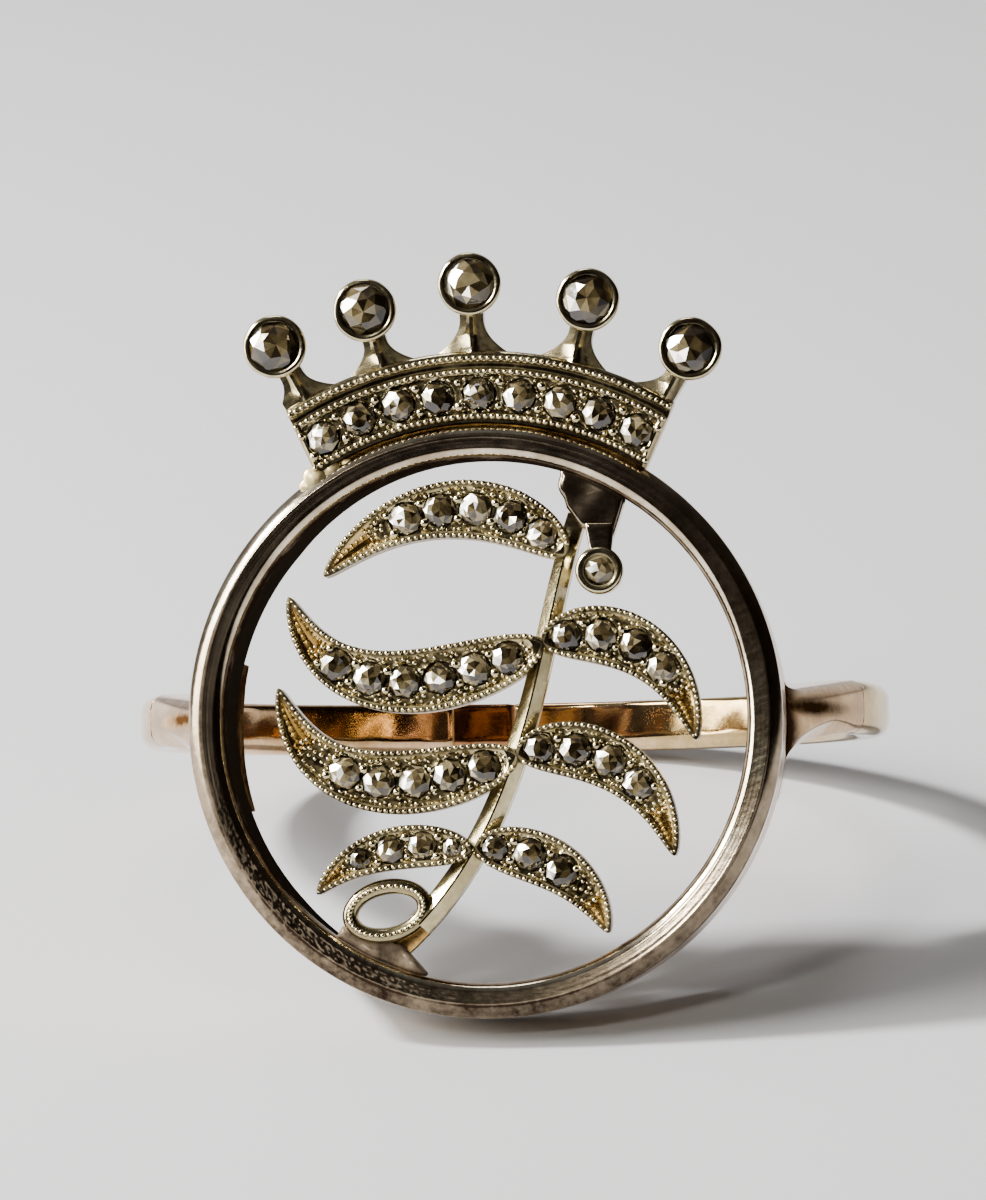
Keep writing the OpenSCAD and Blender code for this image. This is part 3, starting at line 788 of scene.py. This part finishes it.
def walls(x, y, stones, seed):
    """Raised, broken walls round the stones, 0 to 1."""
    raised = np.zeros(np.shape(x))
    for i, (sx, sy, r) in enumerate(stones):
        away = np.hypot(x - sx, y - sy)
        turn = np.arctan2(y - sy, x - sx) / TAU
        broken = 0.65 + 0.5 * wobble(turn, seed + i, 4, 2)
        raised = np.maximum(raised, np.exp(-(((away - r * 1.06) / 0.05) ** 2)) * np.clip(broken, 0, 1))
    return raised


def crown_band():
    """Plate of the band: a channel with a dish for each stone between two rails, and a groove above."""
    rr, uu = np.meshgrid(np.linspace(FRAME_R, BAND_TOP_R, 68), np.linspace(-1, 1, 360), indexing="ij")
    x = uu * band_half(rr)
    y = np.sqrt(rr**2 - x**2)
    edge = (1 - np.abs(uu)) * band_half(rr)
    channel = smooth_step(rr, RAIL_LOWER + 0.05, RAIL_LOWER + 0.14)
    channel *= 1 - smooth_step(rr, RAIL_UPPER - 0.14, RAIL_UPPER - 0.05)
    channel *= smooth_step(edge, 0.12, 0.2)
    z = PLATE_Z - 0.02 - 0.16 * channel
    z += 0.14 * channel * walls(x, y, band_places, 700) + 0.035 * channel * cut_marks(x, y, 71)
    z -= 0.24 * dish(x, y, band_places, 0.90, 1.0)
    z -= 0.14 * np.exp(-(((rr - GROOVE_R) / 0.08) ** 2))
    z -= 0.10 * (1 - smooth_step(edge, 0.0, 0.07))
    z -= 0.07 * smooth_step(rr, BAND_TOP_R - 0.07, BAND_TOP_R)
    depth = np.clip((PLATE_Z - 0.02 - z) / 0.2, 0, 1)
    groove = np.exp(-(((rr - GROOVE_R) / 0.09) ** 2))
    low_edge = 1 - smooth_step(rr, FRAME_R + 0.05, FRAME_R + 0.3)
    tint = np.clip(depth * 0.95 + 0.3 * groove, 0, 1).ravel()
    gilt = np.clip(0.25 * low_edge + 0.3 * (edge < 0.06), 0, 1).ravel()
    tint = np.concatenate([tint, np.full(tint.size, 0.2)])
    gilt = np.concatenate([gilt, np.full(gilt.size, 0.8)])
    points, faces = relief(np.stack([x, y], 2), z, CAP_BACK_Z)
    made("crown_plate", points, faces, WHITE, "white_metal", ["crown_plate"], 60, tint, gilt)


def crown_beading():
    """The band's three milgrain edges: beads on a thin dark wire."""
    for seed, (name, r) in enumerate(RAILS.items(), 5):
        pick = np.random.default_rng(seed)
        sweep = math.asin((band_half(r) - 0.05) / r)
        places, radii = [], []
        for a in sweep * np.linspace(-1, 1, int(2 * r * sweep / 0.165)):
            radii.append(0.078 * pick.uniform(0.88, 1.1))
            places.append((r * math.sin(a), r * math.cos(a), PLATE_Z + pick.uniform(-0.012, 0.012)))
        loop = [(RAIL_W * 0.42 * math.cos(b), 0.05 * math.sin(b)) for b in TAU * np.arange(8) / 8]
        wire = []
        for a in sweep * np.linspace(-1, 1, 120):
            wire.append([((r + d) * math.sin(a), (r + d) * math.cos(a), PLATE_Z - 0.01 + h) for d, h in loop])
        points, faces = tube(wire)
        points, faces, tint = joined(beads(places, radii, 1.1) + [(points, faces, np.full(len(points), 0.8))])
        node = f"crown_rail_{name}"
        made(node, points, faces, WHITE, "white_metal", [node], 80, tint)


def chips(corner_low, corner_high, room, stones, top, seed, count):
    """Small grains left by the graver wherever there is room between the stones and the edges."""
    pick = np.random.default_rng(seed)
    xy = pick.uniform(corner_low, corner_high, (count, 2))
    size = pick.uniform(0.045, 0.085, count)
    free = room(xy[:, 0], xy[:, 1]) > size
    for sx, sy, r in stones:
        free &= np.hypot(xy[:, 0] - sx, xy[:, 1] - sy) > r + 0.6 * size
    kept = []
    for k in np.flatnonzero(free):
        if all(np.hypot(*(xy[k] - xy[m])) > 0.9 * (size[k] + size[m]) for m in kept):
            kept.append(k)
    places = [(xy[k, 0], xy[k, 1], top - pick.uniform(0.05, 0.13)) for k in kept]
    return beads(places, size[kept], 1.1)


def crown_band_stones():
    """The band's stones, four bigger grains between neighbours, and small ones where there is room."""
    shells = []
    for i, (x, y, r) in enumerate(band_places):
        shells.append(set_stone((x, y, PLATE_Z - 0.045), r, DOME, 100 + i))
    points, faces, tint = joined(shells)
    made("crown_band_stones", points, faces, STONE, "old_cut_stones", ["crown_band_stones"], 0, tint)
    places, radii = [], []
    pick = np.random.default_rng(17)
    for i in range(BAND_STONES + 1):
        a = (BAND_STONES / 2 - i) * BAND_PITCH * (0.985 if i in (0, BAND_STONES) else 1)
        for r in (STONE_ROW - 0.30, STONE_ROW + 0.30):
            places.append((-r * math.sin(a), r * math.cos(a), PLATE_Z - 0.02))
            radii.append(0.125 * pick.uniform(0.8, 1.15))

    def room(x, y):
        away = np.hypot(x, y)
        sides = band_half(away) - 0.12 - np.abs(x)
        return np.minimum(np.minimum(away - RAIL_LOWER, RAIL_UPPER - away) - RAIL_W / 2, sides)

    low_left = (-CROWN_TOP_HALF, RAIL_LOWER * math.cos(0.65))
    shells = beads(places, radii, 0.9)
    shells += chips(low_left, (CROWN_TOP_HALF, RAIL_UPPER), room, band_places, PLATE_Z, 18, 2600)
    points, faces, tint = joined(shells)
    made("crown_grains", points, faces, WHITE, "white_metal", [], 80, tint)


def stone_size(node):
    """Middle of a single stone's node and its radius."""
    points = head_points(node)
    centre = (points.min(0) + points.max(0)) / 2
    return centre, np.hypot(*(points - centre)[:, :2].T).max()


def point_collet(i):
    """Tapered collet with a thin rim pressed over the stone, and the stone."""
    node = f"crown_collet_{i}"
    centre, r_stone = stone_size(f"crown_stone_{i}")
    points = head_points(node)
    back_z, front_z = points[:, 2].min(), points[:, 2].max()
    away = np.hypot(*(points - centre)[:, :2].T)
    r_front, r_back = away.max(), away[points[:, 2] < back_z + 0.01].max()
    girdle = front_z - 0.13
    profile = [(0.25, back_z + 0.02), (r_back - 0.06, back_z), (r_back, back_z + 0.05)]
    profile += [(r_back + (r_front - r_back) * 0.5, (back_z + front_z) / 2), (r_front - 0.005, front_z - 0.16)]
    profile += [(r_front, front_z - 0.09), (r_front - 0.03, front_z - 0.02), (r_front - 0.075, front_z)]
    profile += [(r_stone - 0.045, front_z - 0.025), (r_stone - 0.03, front_z - 0.06)]
    profile += [(r_stone + 0.01, girdle - 0.03), (r_stone * 0.75, girdle - 0.35), (0.25, girdle - 0.55)]
    shell, faces = lathe(profile, 72)
    angle = np.arctan2(shell[:, 1], shell[:, 0]) / TAU
    rim = shell[:, 2] > front_z - 0.12
    shell[:, :2] *= (1 + 0.018 * rim * wobble(angle, 200 + i, 6, 3))[:, None]
    shell[:, 2] += 0.012 * rim * wobble(angle, 220 + i, 5, 3)
    inner = np.hypot(shell[:, 0], shell[:, 1]) < r_stone
    tint = 0.5 * inner * (shell[:, 2] < front_z - 0.05) + 0.25 * (shell[:, 2] < back_z + 0.3)
    made(node, shell + [centre[0], centre[1], 0], faces, WHITE, "white_metal", [node], 60, tint)
    gem, cuts, tint = set_stone((centre[0], centre[1], girdle), r_stone * 0.985, POINT_DOME, 300 + i)
    made(f"crown_stone_{i}", gem, cuts, STONE, "old_cut_stones", [f"crown_stone_{i}"], 0, tint)
    return centre, r_back


def point_stem(i, centre, r_back):
    """Stem with hollow flanks and a ridge along its middle, from the band to the collet."""
    foot, end = BAND_TOP_R - 0.12, math.hypot(centre[0], centre[1]) - r_back + 0.22
    foot_half, end_half, rows = 1.0, 0.3, 30
    top, back = PLATE_Z - 0.08, CAP_BACK_Z + 0.02
    ridge = top + 0.04
    rings = []
    for k in range(rows):
        t = k / (rows - 1)
        y = foot + (end - foot) * t
        w = end_half + (foot_half - end_half) * (1 - min(1.0, t * 1.5)) ** 2.0
        flank = top - 0.17 * (1 - 0.3 * t)
        hollow = (flank + ridge) / 2 - 0.03
        right = [(0.05, ridge), (w * 0.45, hollow), (w, flank), (w, back + 0.05), (w - 0.03, back)]
        rings.append([(x, y, z) for x, z in [(-x, z) for x, z in right[::-1]] + right])
    points, faces = tube(rings)
    points = turned(points, -math.atan2(centre[0], centre[1]))
    limit = math.atan2(CROWN_TOP_HALF - 0.02, math.sqrt(BAND_TOP_R**2 - CROWN_TOP_HALF**2))
    hold = np.clip(np.arctan2(points[:, 0], points[:, 1]), -limit, limit)
    r = np.hypot(points[:, 0], points[:, 1])
    points[:, 0], points[:, 1] = r * np.sin(hold), r * np.cos(hold)
    # Painted light across the stem: a lighter ridge as painted highlight and a darker right hollow as painted
    # shade
    tint = np.tile([0.4, 0.4, 0.3, 0.3, 0.0, 0.1, 0.75, 0.4, 0.4, 0.4], rows)
    made(f"crown_stem_{i}", points, faces, WHITE, "white_metal", [f"crown_stem_{i}"], 25, tint)


def solder():
    """Lumps of solder where the band's left corner stands on the frame."""
    shells = []
    left, corner_y = -CROWN_FOOT_HALF, math.sqrt(FRAME_R**2 - CROWN_FOOT_HALF**2)
    spots = [(-0.02, -0.1, 0.34), (-0.2, -0.28, 0.22), (0.4, 0.1, 0.26), (0.8, 0.26, 0.16)]
    for k, (x, y, size) in enumerate(spots):
        lump, faces = ball(size, 0.36, 28, 16)
        turn = np.arctan2(lump[:, 1], lump[:, 0]) / TAU
        lump[:, :2] *= (1 + 0.22 * wobble(turn, 50 + k, 3, 2))[:, None]
        age_and_shade = 0.3 * np.hypot(lump[:, 0], lump[:, 1]) / size
        shells.append((lump + [left + x, corner_y + y, PLATE_Z - 0.11], faces, age_and_shade))
    points, faces, tint = joined(shells)
    made("solder", points, faces, SOLDER, "white_metal", [], 80, tint, np.zeros(len(points)))


crown_band()
crown_beading()
solder()
crown_band_stones()
for number in range(1, POINTS + 1):
    point_stem(number, *point_collet(number))

# ---- Spray ----

# Half width and the four control points of each leaf's middle line, from the stem to the tip
LEAF = [
    (0.74, ((2.1, 4.1), (0.8, 5.7), (-2.0, 5.9), (-4.0, 3.7))),
    (0.80, ((1.5, 1.9), (-0.6, 1.0), (-4.0, 0.0), (-4.9, 3.2))),
    (0.74, ((1.5, 1.9), (2.9, 2.5), (4.9, 1.9), (5.3, -0.6))),
    (0.80, ((0.8, -0.9), (-1.2, -1.6), (-4.4, -2.4), (-5.2, 0.9))),
    (0.72, ((0.8, -0.9), (2.2, -0.4), (4.3, -1.1), (4.7, -3.5))),
    (0.66, ((-0.3, -3.2), (0.9, -3.2), (2.5, -3.7), (3.0, -5.4))),
    (0.54, ((-0.4, -3.3), (-1.6, -3.0), (-3.3, -3.0), (-4.3, -4.3))),
]
STONES_START, STONES_END = 0.13, 0.76
STONE_GAP = 0.06
STEM = ((2.7, 5.9), (1.2, 2.2), (1.4, -2.6), (-2.5, -5.8))
STEM_TOP_HALF, STEM_FOOT_HALF = 0.23, 0.33
SHEET_HOLE = 0.5


def bezier(p, t):
    p = np.array(p, float)
    t = np.asarray(t, float)[..., None]
    return (1 - t) ** 3 * p[0] + 3 * t * (1 - t) ** 2 * p[1] + 3 * t * t * (1 - t) * p[2] + t**3 * p[3]


def slope(p, t):
    p = np.array(p, float)
    t = np.asarray(t, float)[..., None]
    return 3 * (1 - t) ** 2 * (p[1] - p[0]) + 6 * t * (1 - t) * (p[2] - p[1]) + 3 * t * t * (p[3] - p[2])


def across(p, t):
    """Direction across a curve, to its left."""
    d = slope(p, t)
    n = np.stack([-d[..., 1], d[..., 0]], -1)
    return n / np.linalg.norm(n, axis=-1, keepdims=True)


def leaf_half(leaf, t):
    return leaf[0] * np.sin(math.pi * np.clip(t, 0, 1) ** 0.75) ** 0.6


def leaf_stone_r(leaf, t):
    return min(STONE_R, float(leaf_half(leaf, t)) - RAIL_W - 0.03)


def leaf_stones(leaf):
    """Places of a leaf's stones, (x, y, radius), and how far along the leaf each one is."""
    places, times, t = [], [], STONES_START
    while t <= STONES_END:
        places.append((*bezier(leaf[1], t), leaf_stone_r(leaf, t)))
        times.append(t)
        widest = max(leaf_stone_r(leaf, t), leaf_stone_r(leaf, t + 0.1))
        t += (2 * widest + STONE_GAP) / float(np.linalg.norm(slope(leaf[1], t + 0.06)))
    return places, times


def leaf_grid(leaf, rows, w, margin=0.0):
    """Points over a leaf, with how far along and how far across it each one is."""
    t = 0.5 - 0.5 * np.cos(math.pi * np.linspace(0.01, 0.99, rows))
    tt, ww = np.meshgrid(t, w, indexing="ij")
    half = leaf_half(leaf, tt) + margin
    return bezier(leaf[1], tt) + (ww * half)[..., None] * across(leaf[1], tt), tt, ww


def leaf_plate(i, leaf):
    """White metal leaf: channel with a dish for each stone, bright edge, and a plain cut tip."""
    stones, _ = leaf_stones(leaf)
    w = np.linspace(-1, 1, 45)
    xy, tt, ww = leaf_grid(leaf, 200, np.sign(w) * np.abs(w) ** 0.85)
    x, y = xy[..., 0], xy[..., 1]
    edge = (1 - np.abs(ww)) * leaf_half(leaf, tt)
    tip = smooth_step(tt, STONES_END + 0.02, STONES_END + 0.06)
    channel = np.clip((edge - RAIL_W * 0.9) / 0.2, 0, 1) * smooth_step(tt, 0.03, 0.08) * (1 - tip)
    z = LEAF_TOP_Z - 0.17 * channel
    z += 0.14 * channel * walls(x, y, stones, 740 + 10 * i) + 0.035 * channel * cut_marks(x, y, 80 + i)
    z -= 0.22 * dish(x, y, stones, 0.90, 1.0)
    z -= tip * 0.22 * np.clip((edge - 0.1) / 0.3, 0, 1.3)
    z -= 0.05 * (1 - smooth_step(edge, 0.0, 0.05))
    depth = np.clip((LEAF_TOP_Z - z) / 0.2, 0, 1)
    under_beads = 0.8 * (1 - smooth_step(edge, RAIL_W, RAIL_W + 0.06))
    tint = np.maximum(depth * (0.95 - 0.85 * tip), under_beads).ravel()
    gilt = (smooth_step(edge, 0.06, 0.16) * (0.1 + 0.9 * tip)).ravel()
    tint = np.concatenate([tint, np.full(tint.size, 0.15)])
    gilt = np.concatenate([gilt, np.full(gilt.size, 1.0)])
    points, faces = relief(xy, z, LEAF_Z)
    made(f"leaf_{i}", points, faces, LEAF_METAL, "white_metal", [f"leaf_{i}"], 40, tint, gilt)


def leaf_beading(i, leaf):
    """Milgrain along both edges of a leaf."""
    pick = np.random.default_rng(400 + i)
    t = np.linspace(0.03, 0.985, 400)
    half = np.maximum(leaf_half(leaf, t) - RAIL_W * 0.5, 0.01)
    shells = []
    for side in (-1, 1):
        line = bezier(leaf[1], t) + (side * half)[:, None] * across(leaf[1], t)
        steps = np.linalg.norm(np.diff(line, axis=0), axis=1)
        length = np.concatenate([[0], np.cumsum(steps)])
        count = int(length[-1] / 0.155)
        at = np.linspace(0, length[-1], count)
        x, y, tt = [np.interp(at, length, values) for values in (*line.T, t)]
        radii = 0.074 * pick.uniform(0.85, 1.12, count) * np.clip((1 - tt) * 12, 0.55, 1)
        z = LEAF_TOP_Z + 0.015 + pick.uniform(-0.012, 0.012, count)
        shells += beads(np.stack([x, y, z], 1), radii, 1.1)
    points, faces, tint = joined(shells)
    made(f"leaf_rail_{i}", points, faces, WHITE, "white_metal", [f"leaf_rail_{i}"], 80, tint)


def leaf_gems(i, leaf):
    """A leaf's stones, two bigger grains between neighbours, and small ones where there is room."""
    stones, times = leaf_stones(leaf)
    shells = []
    for k, (x, y, r) in enumerate(stones):
        shells.append(set_stone((x, y, LEAF_TOP_Z - 0.05), r, DOME, 500 + 20 * i + k))
    points, faces, tint = joined(shells)
    made(f"leaf_stones_{i}", points, faces, STONE, "old_cut_stones", [f"leaf_stones_{i}"], 0, tint)
    pick = np.random.default_rng(600 + i)
    places, radii = [], []
    for t in [(a + b) / 2 for a, b in zip(times, times[1:])] + [times[-1] + 0.055]:
        spread = min(float(leaf_half(leaf, t)) - RAIL_W, 0.34) * 0.72
        if spread < 0.1:
            continue
        for side in (-1, 1):
            x, y = bezier(leaf[1], t) + side * spread * across(leaf[1], t)
            places.append((x, y, LEAF_TOP_Z - 0.045))
            radii.append(min(0.12, spread * 0.5) * pick.uniform(0.8, 1.15))
    t = np.linspace(0.02, STONES_END + 0.03, 120)
    line, halves = bezier(leaf[1], t), leaf_half(leaf, t)

    def room(x, y):
        away = np.hypot(x[:, None] - line[:, 0], y[:, None] - line[:, 1])
        return halves[away.argmin(1)] - away.min(1) - RAIL_W

    shells = beads(places, radii, 0.95)
    shells += chips(line.min(0) - 0.8, line.max(0) + 0.8, room, stones, LEAF_TOP_Z, 650 + i, 2600)
    points, faces, tint = joined(shells)
    made(f"leaf_grains_{i}", points, faces, WHITE, "white_metal", [], 80, tint)


def stem_bar(low, high, ridge=0.0, start=0.0, end=1.0):
    """Bar along the stem's line with soft upper edges and a low ridge."""
    rings = []
    for t in np.linspace(start, end, 160):
        h = STEM_TOP_HALF + (STEM_FOOT_HALF - STEM_TOP_HALF) * t
        (x, y), (nx, ny) = bezier(STEM, t), across(STEM, t)
        crest = high + ridge * float(smooth_step(t, start + 0.02, start + 0.1))
        loop = [(-h, low), (-h, high - 0.03), (-h + 0.03, high), (-0.025, crest), (0.025, crest)]
        loop += [(h - 0.03, high), (h, high - 0.03), (h, low)]
        rings.append([(x + nx * d, y + ny * d, z) for d, z in loop])
    return tube(rings)


def stem():
    points, faces = stem_bar(LEAF_Z, LEAF_TOP_Z - 0.2, ridge=0.19, start=0.07, end=0.93)
    tint = np.full(len(points), 0.15)
    made("spray_stem", points, faces, LEAF_METAL, "white_metal", ["spray_stem"], 20, tint)


def spray_backing():
    """Gold sheet under the leaves and the stem, with a hole behind each stone."""
    shells = []
    for leaf in LEAF:
        xy, tt, _ = leaf_grid(leaf, 160, np.linspace(-1, 1, 33), 0.005)
        holes = [(x, y, r * SHEET_HOLE) for x, y, r in leaf_stones(leaf)[0]]
        deep = dish(xy[..., 0], xy[..., 1], holes, 0.75, 1.15)
        points, faces = relief(xy, np.full(tt.shape, LEAF_Z), BACKING_Z + 0.12 * deep)
        shells.append((points, faces, np.concatenate([np.zeros(deep.size), 0.9 * deep.ravel()])))
    points, faces, tint = joined(shells + [stem_bar(BACKING_Z, LEAF_Z)])
    made("spray_backing", points, faces, YELLOW, "yellow_gold", ["spray_backing"], 50, tint)


LUG = [(2.0, 5.9), (2.15, 5.3), (2.5, 4.8), (3.3, 4.5), (3.5, 5.1), (4.0, 6.8), (2.0, 6.8)]
FOOT = [(-3.7, -5.1), (-3.1, -5.3), (-2.2, -5.6), (-1.6, -6.3), (-1.5, -7.2), (-4.9, -7.2)]
STALK = [(2.75, 4.0), (3.25, 4.0), (3.35, 4.9), (2.6, 4.9)]


def flat_piece(node, plan, low, high, soft=0.09, age_and_shade=0.1, lumps=0.0):
    """A flat piece with soft edges from a plan field, its top uneven by the given lumps."""
    corners = head_points(node)

    def field(x, y, z):
        uneven = 1 + np.sin(5.1 * x + 1) * np.sin(4.3 * y + 2) + 0.8 * abs(np.hypot(x, y) - OPENING_R)
        return both(plan(x, y), slab(z, low, high - lumps * uneven), soft)

    points, faces = surface(field, corners.min(0) - 0.03, corners.max(0) + 0.03, 0.05)
    made(node, points, faces, CAP, "white_metal", [node], 60, np.full(len(points), age_and_shade))


def lug_and_foot():
    def lug(x, y):
        shape = union(polygon_field(x, y, LUG), np.hypot(x - 2.25, y - 5.85) - 0.3, 0.1)
        return both(shape, np.hypot(x, y) - OPENING_R, 0.01)

    def foot(x, y):
        return both(polygon_field(x, y, FOOT), np.hypot(x, y) - OPENING_R, 0.01)

    flat_piece("frame_lug", lug, BACKING_Z, LEAF_TOP_Z - 0.03, 0.14, 0.33, 0.02)
    flat_piece("frame_foot", foot, BACKING_Z, LEAF_TOP_Z - 0.1, 0.2, 0.75, 0.09)
    flat_piece("berry_stalk", lambda x, y: polygon_field(x, y, STALK), LEAF_Z, LEAF_TOP_Z)


EYE_CENTRE, EYE_HALF, EYE_TILT, EYE_WIRE = (-2.55, -4.75, 0), (1.15, 0.8), math.radians(12), 0.4


def eye_loop():
    """Oval loop of squarish wire with milgrain on top."""

    def oval(a, d, z):
        """A place at the angle a, d outside the wire's middle line."""
        half_x, half_y = [half - EYE_WIRE / 2 + d for half in EYE_HALF]
        return half_x * math.cos(a), half_y * math.sin(a), z

    deep = (LEAF_TOP_Z - LEAF_Z) / 2
    section = []
    for b in TAU * np.arange(16) / 16:
        c, s = [math.copysign(abs(f) ** 0.7, f) for f in (math.cos(b), math.sin(b))]
        section.append((EYE_WIRE / 2 * c, (LEAF_Z + LEAF_TOP_Z) / 2 + deep * s))
    rings = [[oval(a, d, z) for d, z in section] for a in TAU * np.arange(96) / 96]
    points, faces = tube(rings, closed=True)
    shells = [(turned(points, EYE_TILT) + EYE_CENTRE, faces, np.full(len(points), 0.35))]
    places = [oval(a, 0, LEAF_TOP_Z) for a in TAU * np.arange(38) / 38]
    radii = 0.075 * dice.uniform(0.85, 1.1, len(places))
    shells += beads(turned(places, EYE_TILT) + EYE_CENTRE, radii)
    points, faces, tint = joined(shells)
    made("eye_loop", points, faces, WHITE, "white_metal", ["eye_loop"], 60, tint)


def berry():
    """Single set stone at the top right."""
    centre, r_stone = stone_size("berry_stone")
    r = np.hypot(*(head_points("berry_collet")[:, :2] - centre[:2]).T).max()
    top = span("berry_collet", 2)[1]
    profile = [(0.15, LEAF_Z), (r - 0.08, LEAF_Z), (r, LEAF_Z + 0.08), (r, top - 0.12)]
    profile += [(r - 0.04, top - 0.02), (r - 0.09, top), (r_stone - 0.04, top - 0.04)]
    profile += [(r_stone - 0.02, top - 0.1), (r_stone + 0.01, top - 0.2)]
    profile += [(r_stone * 0.6, top - 0.42), (0.15, top - 0.5)]
    shell, faces = lathe(profile, 64)
    tint = 0.5 * (np.hypot(shell[:, 0], shell[:, 1]) < r_stone)
    shell = shell + [centre[0], centre[1], 0]
    made("berry_collet", shell, faces, WHITE, "white_metal", ["berry_collet"], 60, tint)
    gem, cuts, tint = set_stone((centre[0], centre[1], top - 0.12), r_stone * 0.98, DOME, 900)
    made("berry_stone", gem, cuts, STONE, "old_cut_stones", ["berry_stone"], 0, tint)


for number, shape in enumerate(LEAF, 1):
    leaf_plate(number, shape)
    leaf_beading(number, shape)
    leaf_gems(number, shape)
stem()
spray_backing()
lug_and_foot()
eye_loop()
berry()

crown_sheet = frame["nodes"]["crown_backing"]
for material_slot in crown_sheet.material_slots:
    material_slot.material = YELLOW

# ---- Floor, light and camera ----


def floor():
    mesh = bpy.data.meshes.new("floor")
    size = 0.6
    corners = [(-size, -size, 0), (size, -size, 0), (size, size, 0), (-size, size, 0)]
    mesh.from_pydata(corners, [], [(0, 1, 2, 3)])
    material, _, shader = shaded("floor")
    shader["Base Color"].default_value = (0.37, 0.37, 0.384, 1)
    shader["Roughness"].default_value = 0.9
    mesh.materials.append(material)
    piece = bpy.data.objects.new("floor", mesh)
    bpy.context.scene.collection.objects.link(piece)


def area_light(name, place, width, height, power, colour):
    """A rectangular light aimed at the ring's middle."""
    light = bpy.data.lights.new(name, "AREA")
    light.shape = "RECTANGLE"
    light.size, light.size_y = width, height
    light.energy, light.color = power, colour
    lamp = bpy.data.objects.new(name, light)
    bpy.context.scene.collection.objects.link(lamp)
    lamp.location = place
    lamp.rotation_mode = "QUATERNION"
    lamp.rotation_quaternion = (Vector((0, 0, 0.008)) - Vector(place)).to_track_quat("-Z", "Y")


def world():
    """Studio with a dark side towards the camera and a pale wall behind, for the polished faces."""
    studio = bpy.data.worlds.new("studio")
    bpy.context.scene.world = studio
    graph = Graph(studio)
    parts = graph.nodes.new("ShaderNodeSeparateXYZ")
    graph.give(graph.nodes.new("ShaderNodeTexCoord").outputs["Generated"], parts.inputs[0])
    x, y, z = parts.outputs
    shade = graph.math("ADD", graph.total((z, 0.42), (y, 0.34), (x, -0.32)), 0.30)
    stops = [(0.0, (0.008, 0.005, 0.004)), (0.22, (0.020, 0.013, 0.010))]
    stops += [(0.48, (0.05, 0.046, 0.042)), (0.95, (0.32, 0.325, 0.335))]
    behind = graph.math("MULTIPLY", graph.math("SUBTRACT", y, 0.6), 4, clamp=True)
    background = graph.nodes["Background"].inputs
    graph.give(graph.mix(behind, graph.ramp(shade, stops), (1.1, 1.1, 1.12, 1)), background["Color"])
    background["Strength"].default_value = 0.7


def camera():
    """Camera at the photograph's angle, a little to the right of the face's own direction and below it."""
    place = np.array([12.4, -5.5, FRAME_Z + 166.0])
    aim = np.array([0.28, 3.0, FRAME_Z])
    roll = math.radians(1.03)
    data = bpy.data.cameras.new("camera")
    data.lens = 199.1
    data.sensor_width = 36
    data.clip_start, data.clip_end = 0.01, 5
    lens = bpy.data.objects.new("camera", data)
    bpy.context.scene.collection.objects.link(lens)
    back = Vector(put(place) - put(aim)).normalized()
    right = Vector(TO_CROWN).cross(back).normalized()
    turn = Matrix((right, back.cross(right), back)).transposed().to_4x4()
    lens.matrix_world = Matrix.Translation(Vector(put(place))) @ turn @ Matrix.Rotation(-roll, 4, "Z")
    bpy.context.scene.camera = lens


floor()
world()
area_light("key", (-0.18, 0.0, 0.17), 0.03, 0.03, 2.2, (1.0, 0.98, 0.96))
area_light("window", (-0.24, -0.05, 0.10), 0.14, 0.2, 1.5, (1.0, 0.97, 0.88))
area_light("soft_left", (-0.196, -0.08, 0.189), 0.10, 0.10, 0.7, (1.0, 0.99, 0.93))
area_light("above", (-0.04, 0.10, 0.27), 0.09, 0.09, 0.2, (1.0, 0.98, 0.96))
area_light("front_left", (-0.10, -0.20, 0.17), 0.03, 0.03, 0.3, (1.0, 0.98, 0.9))
camera()
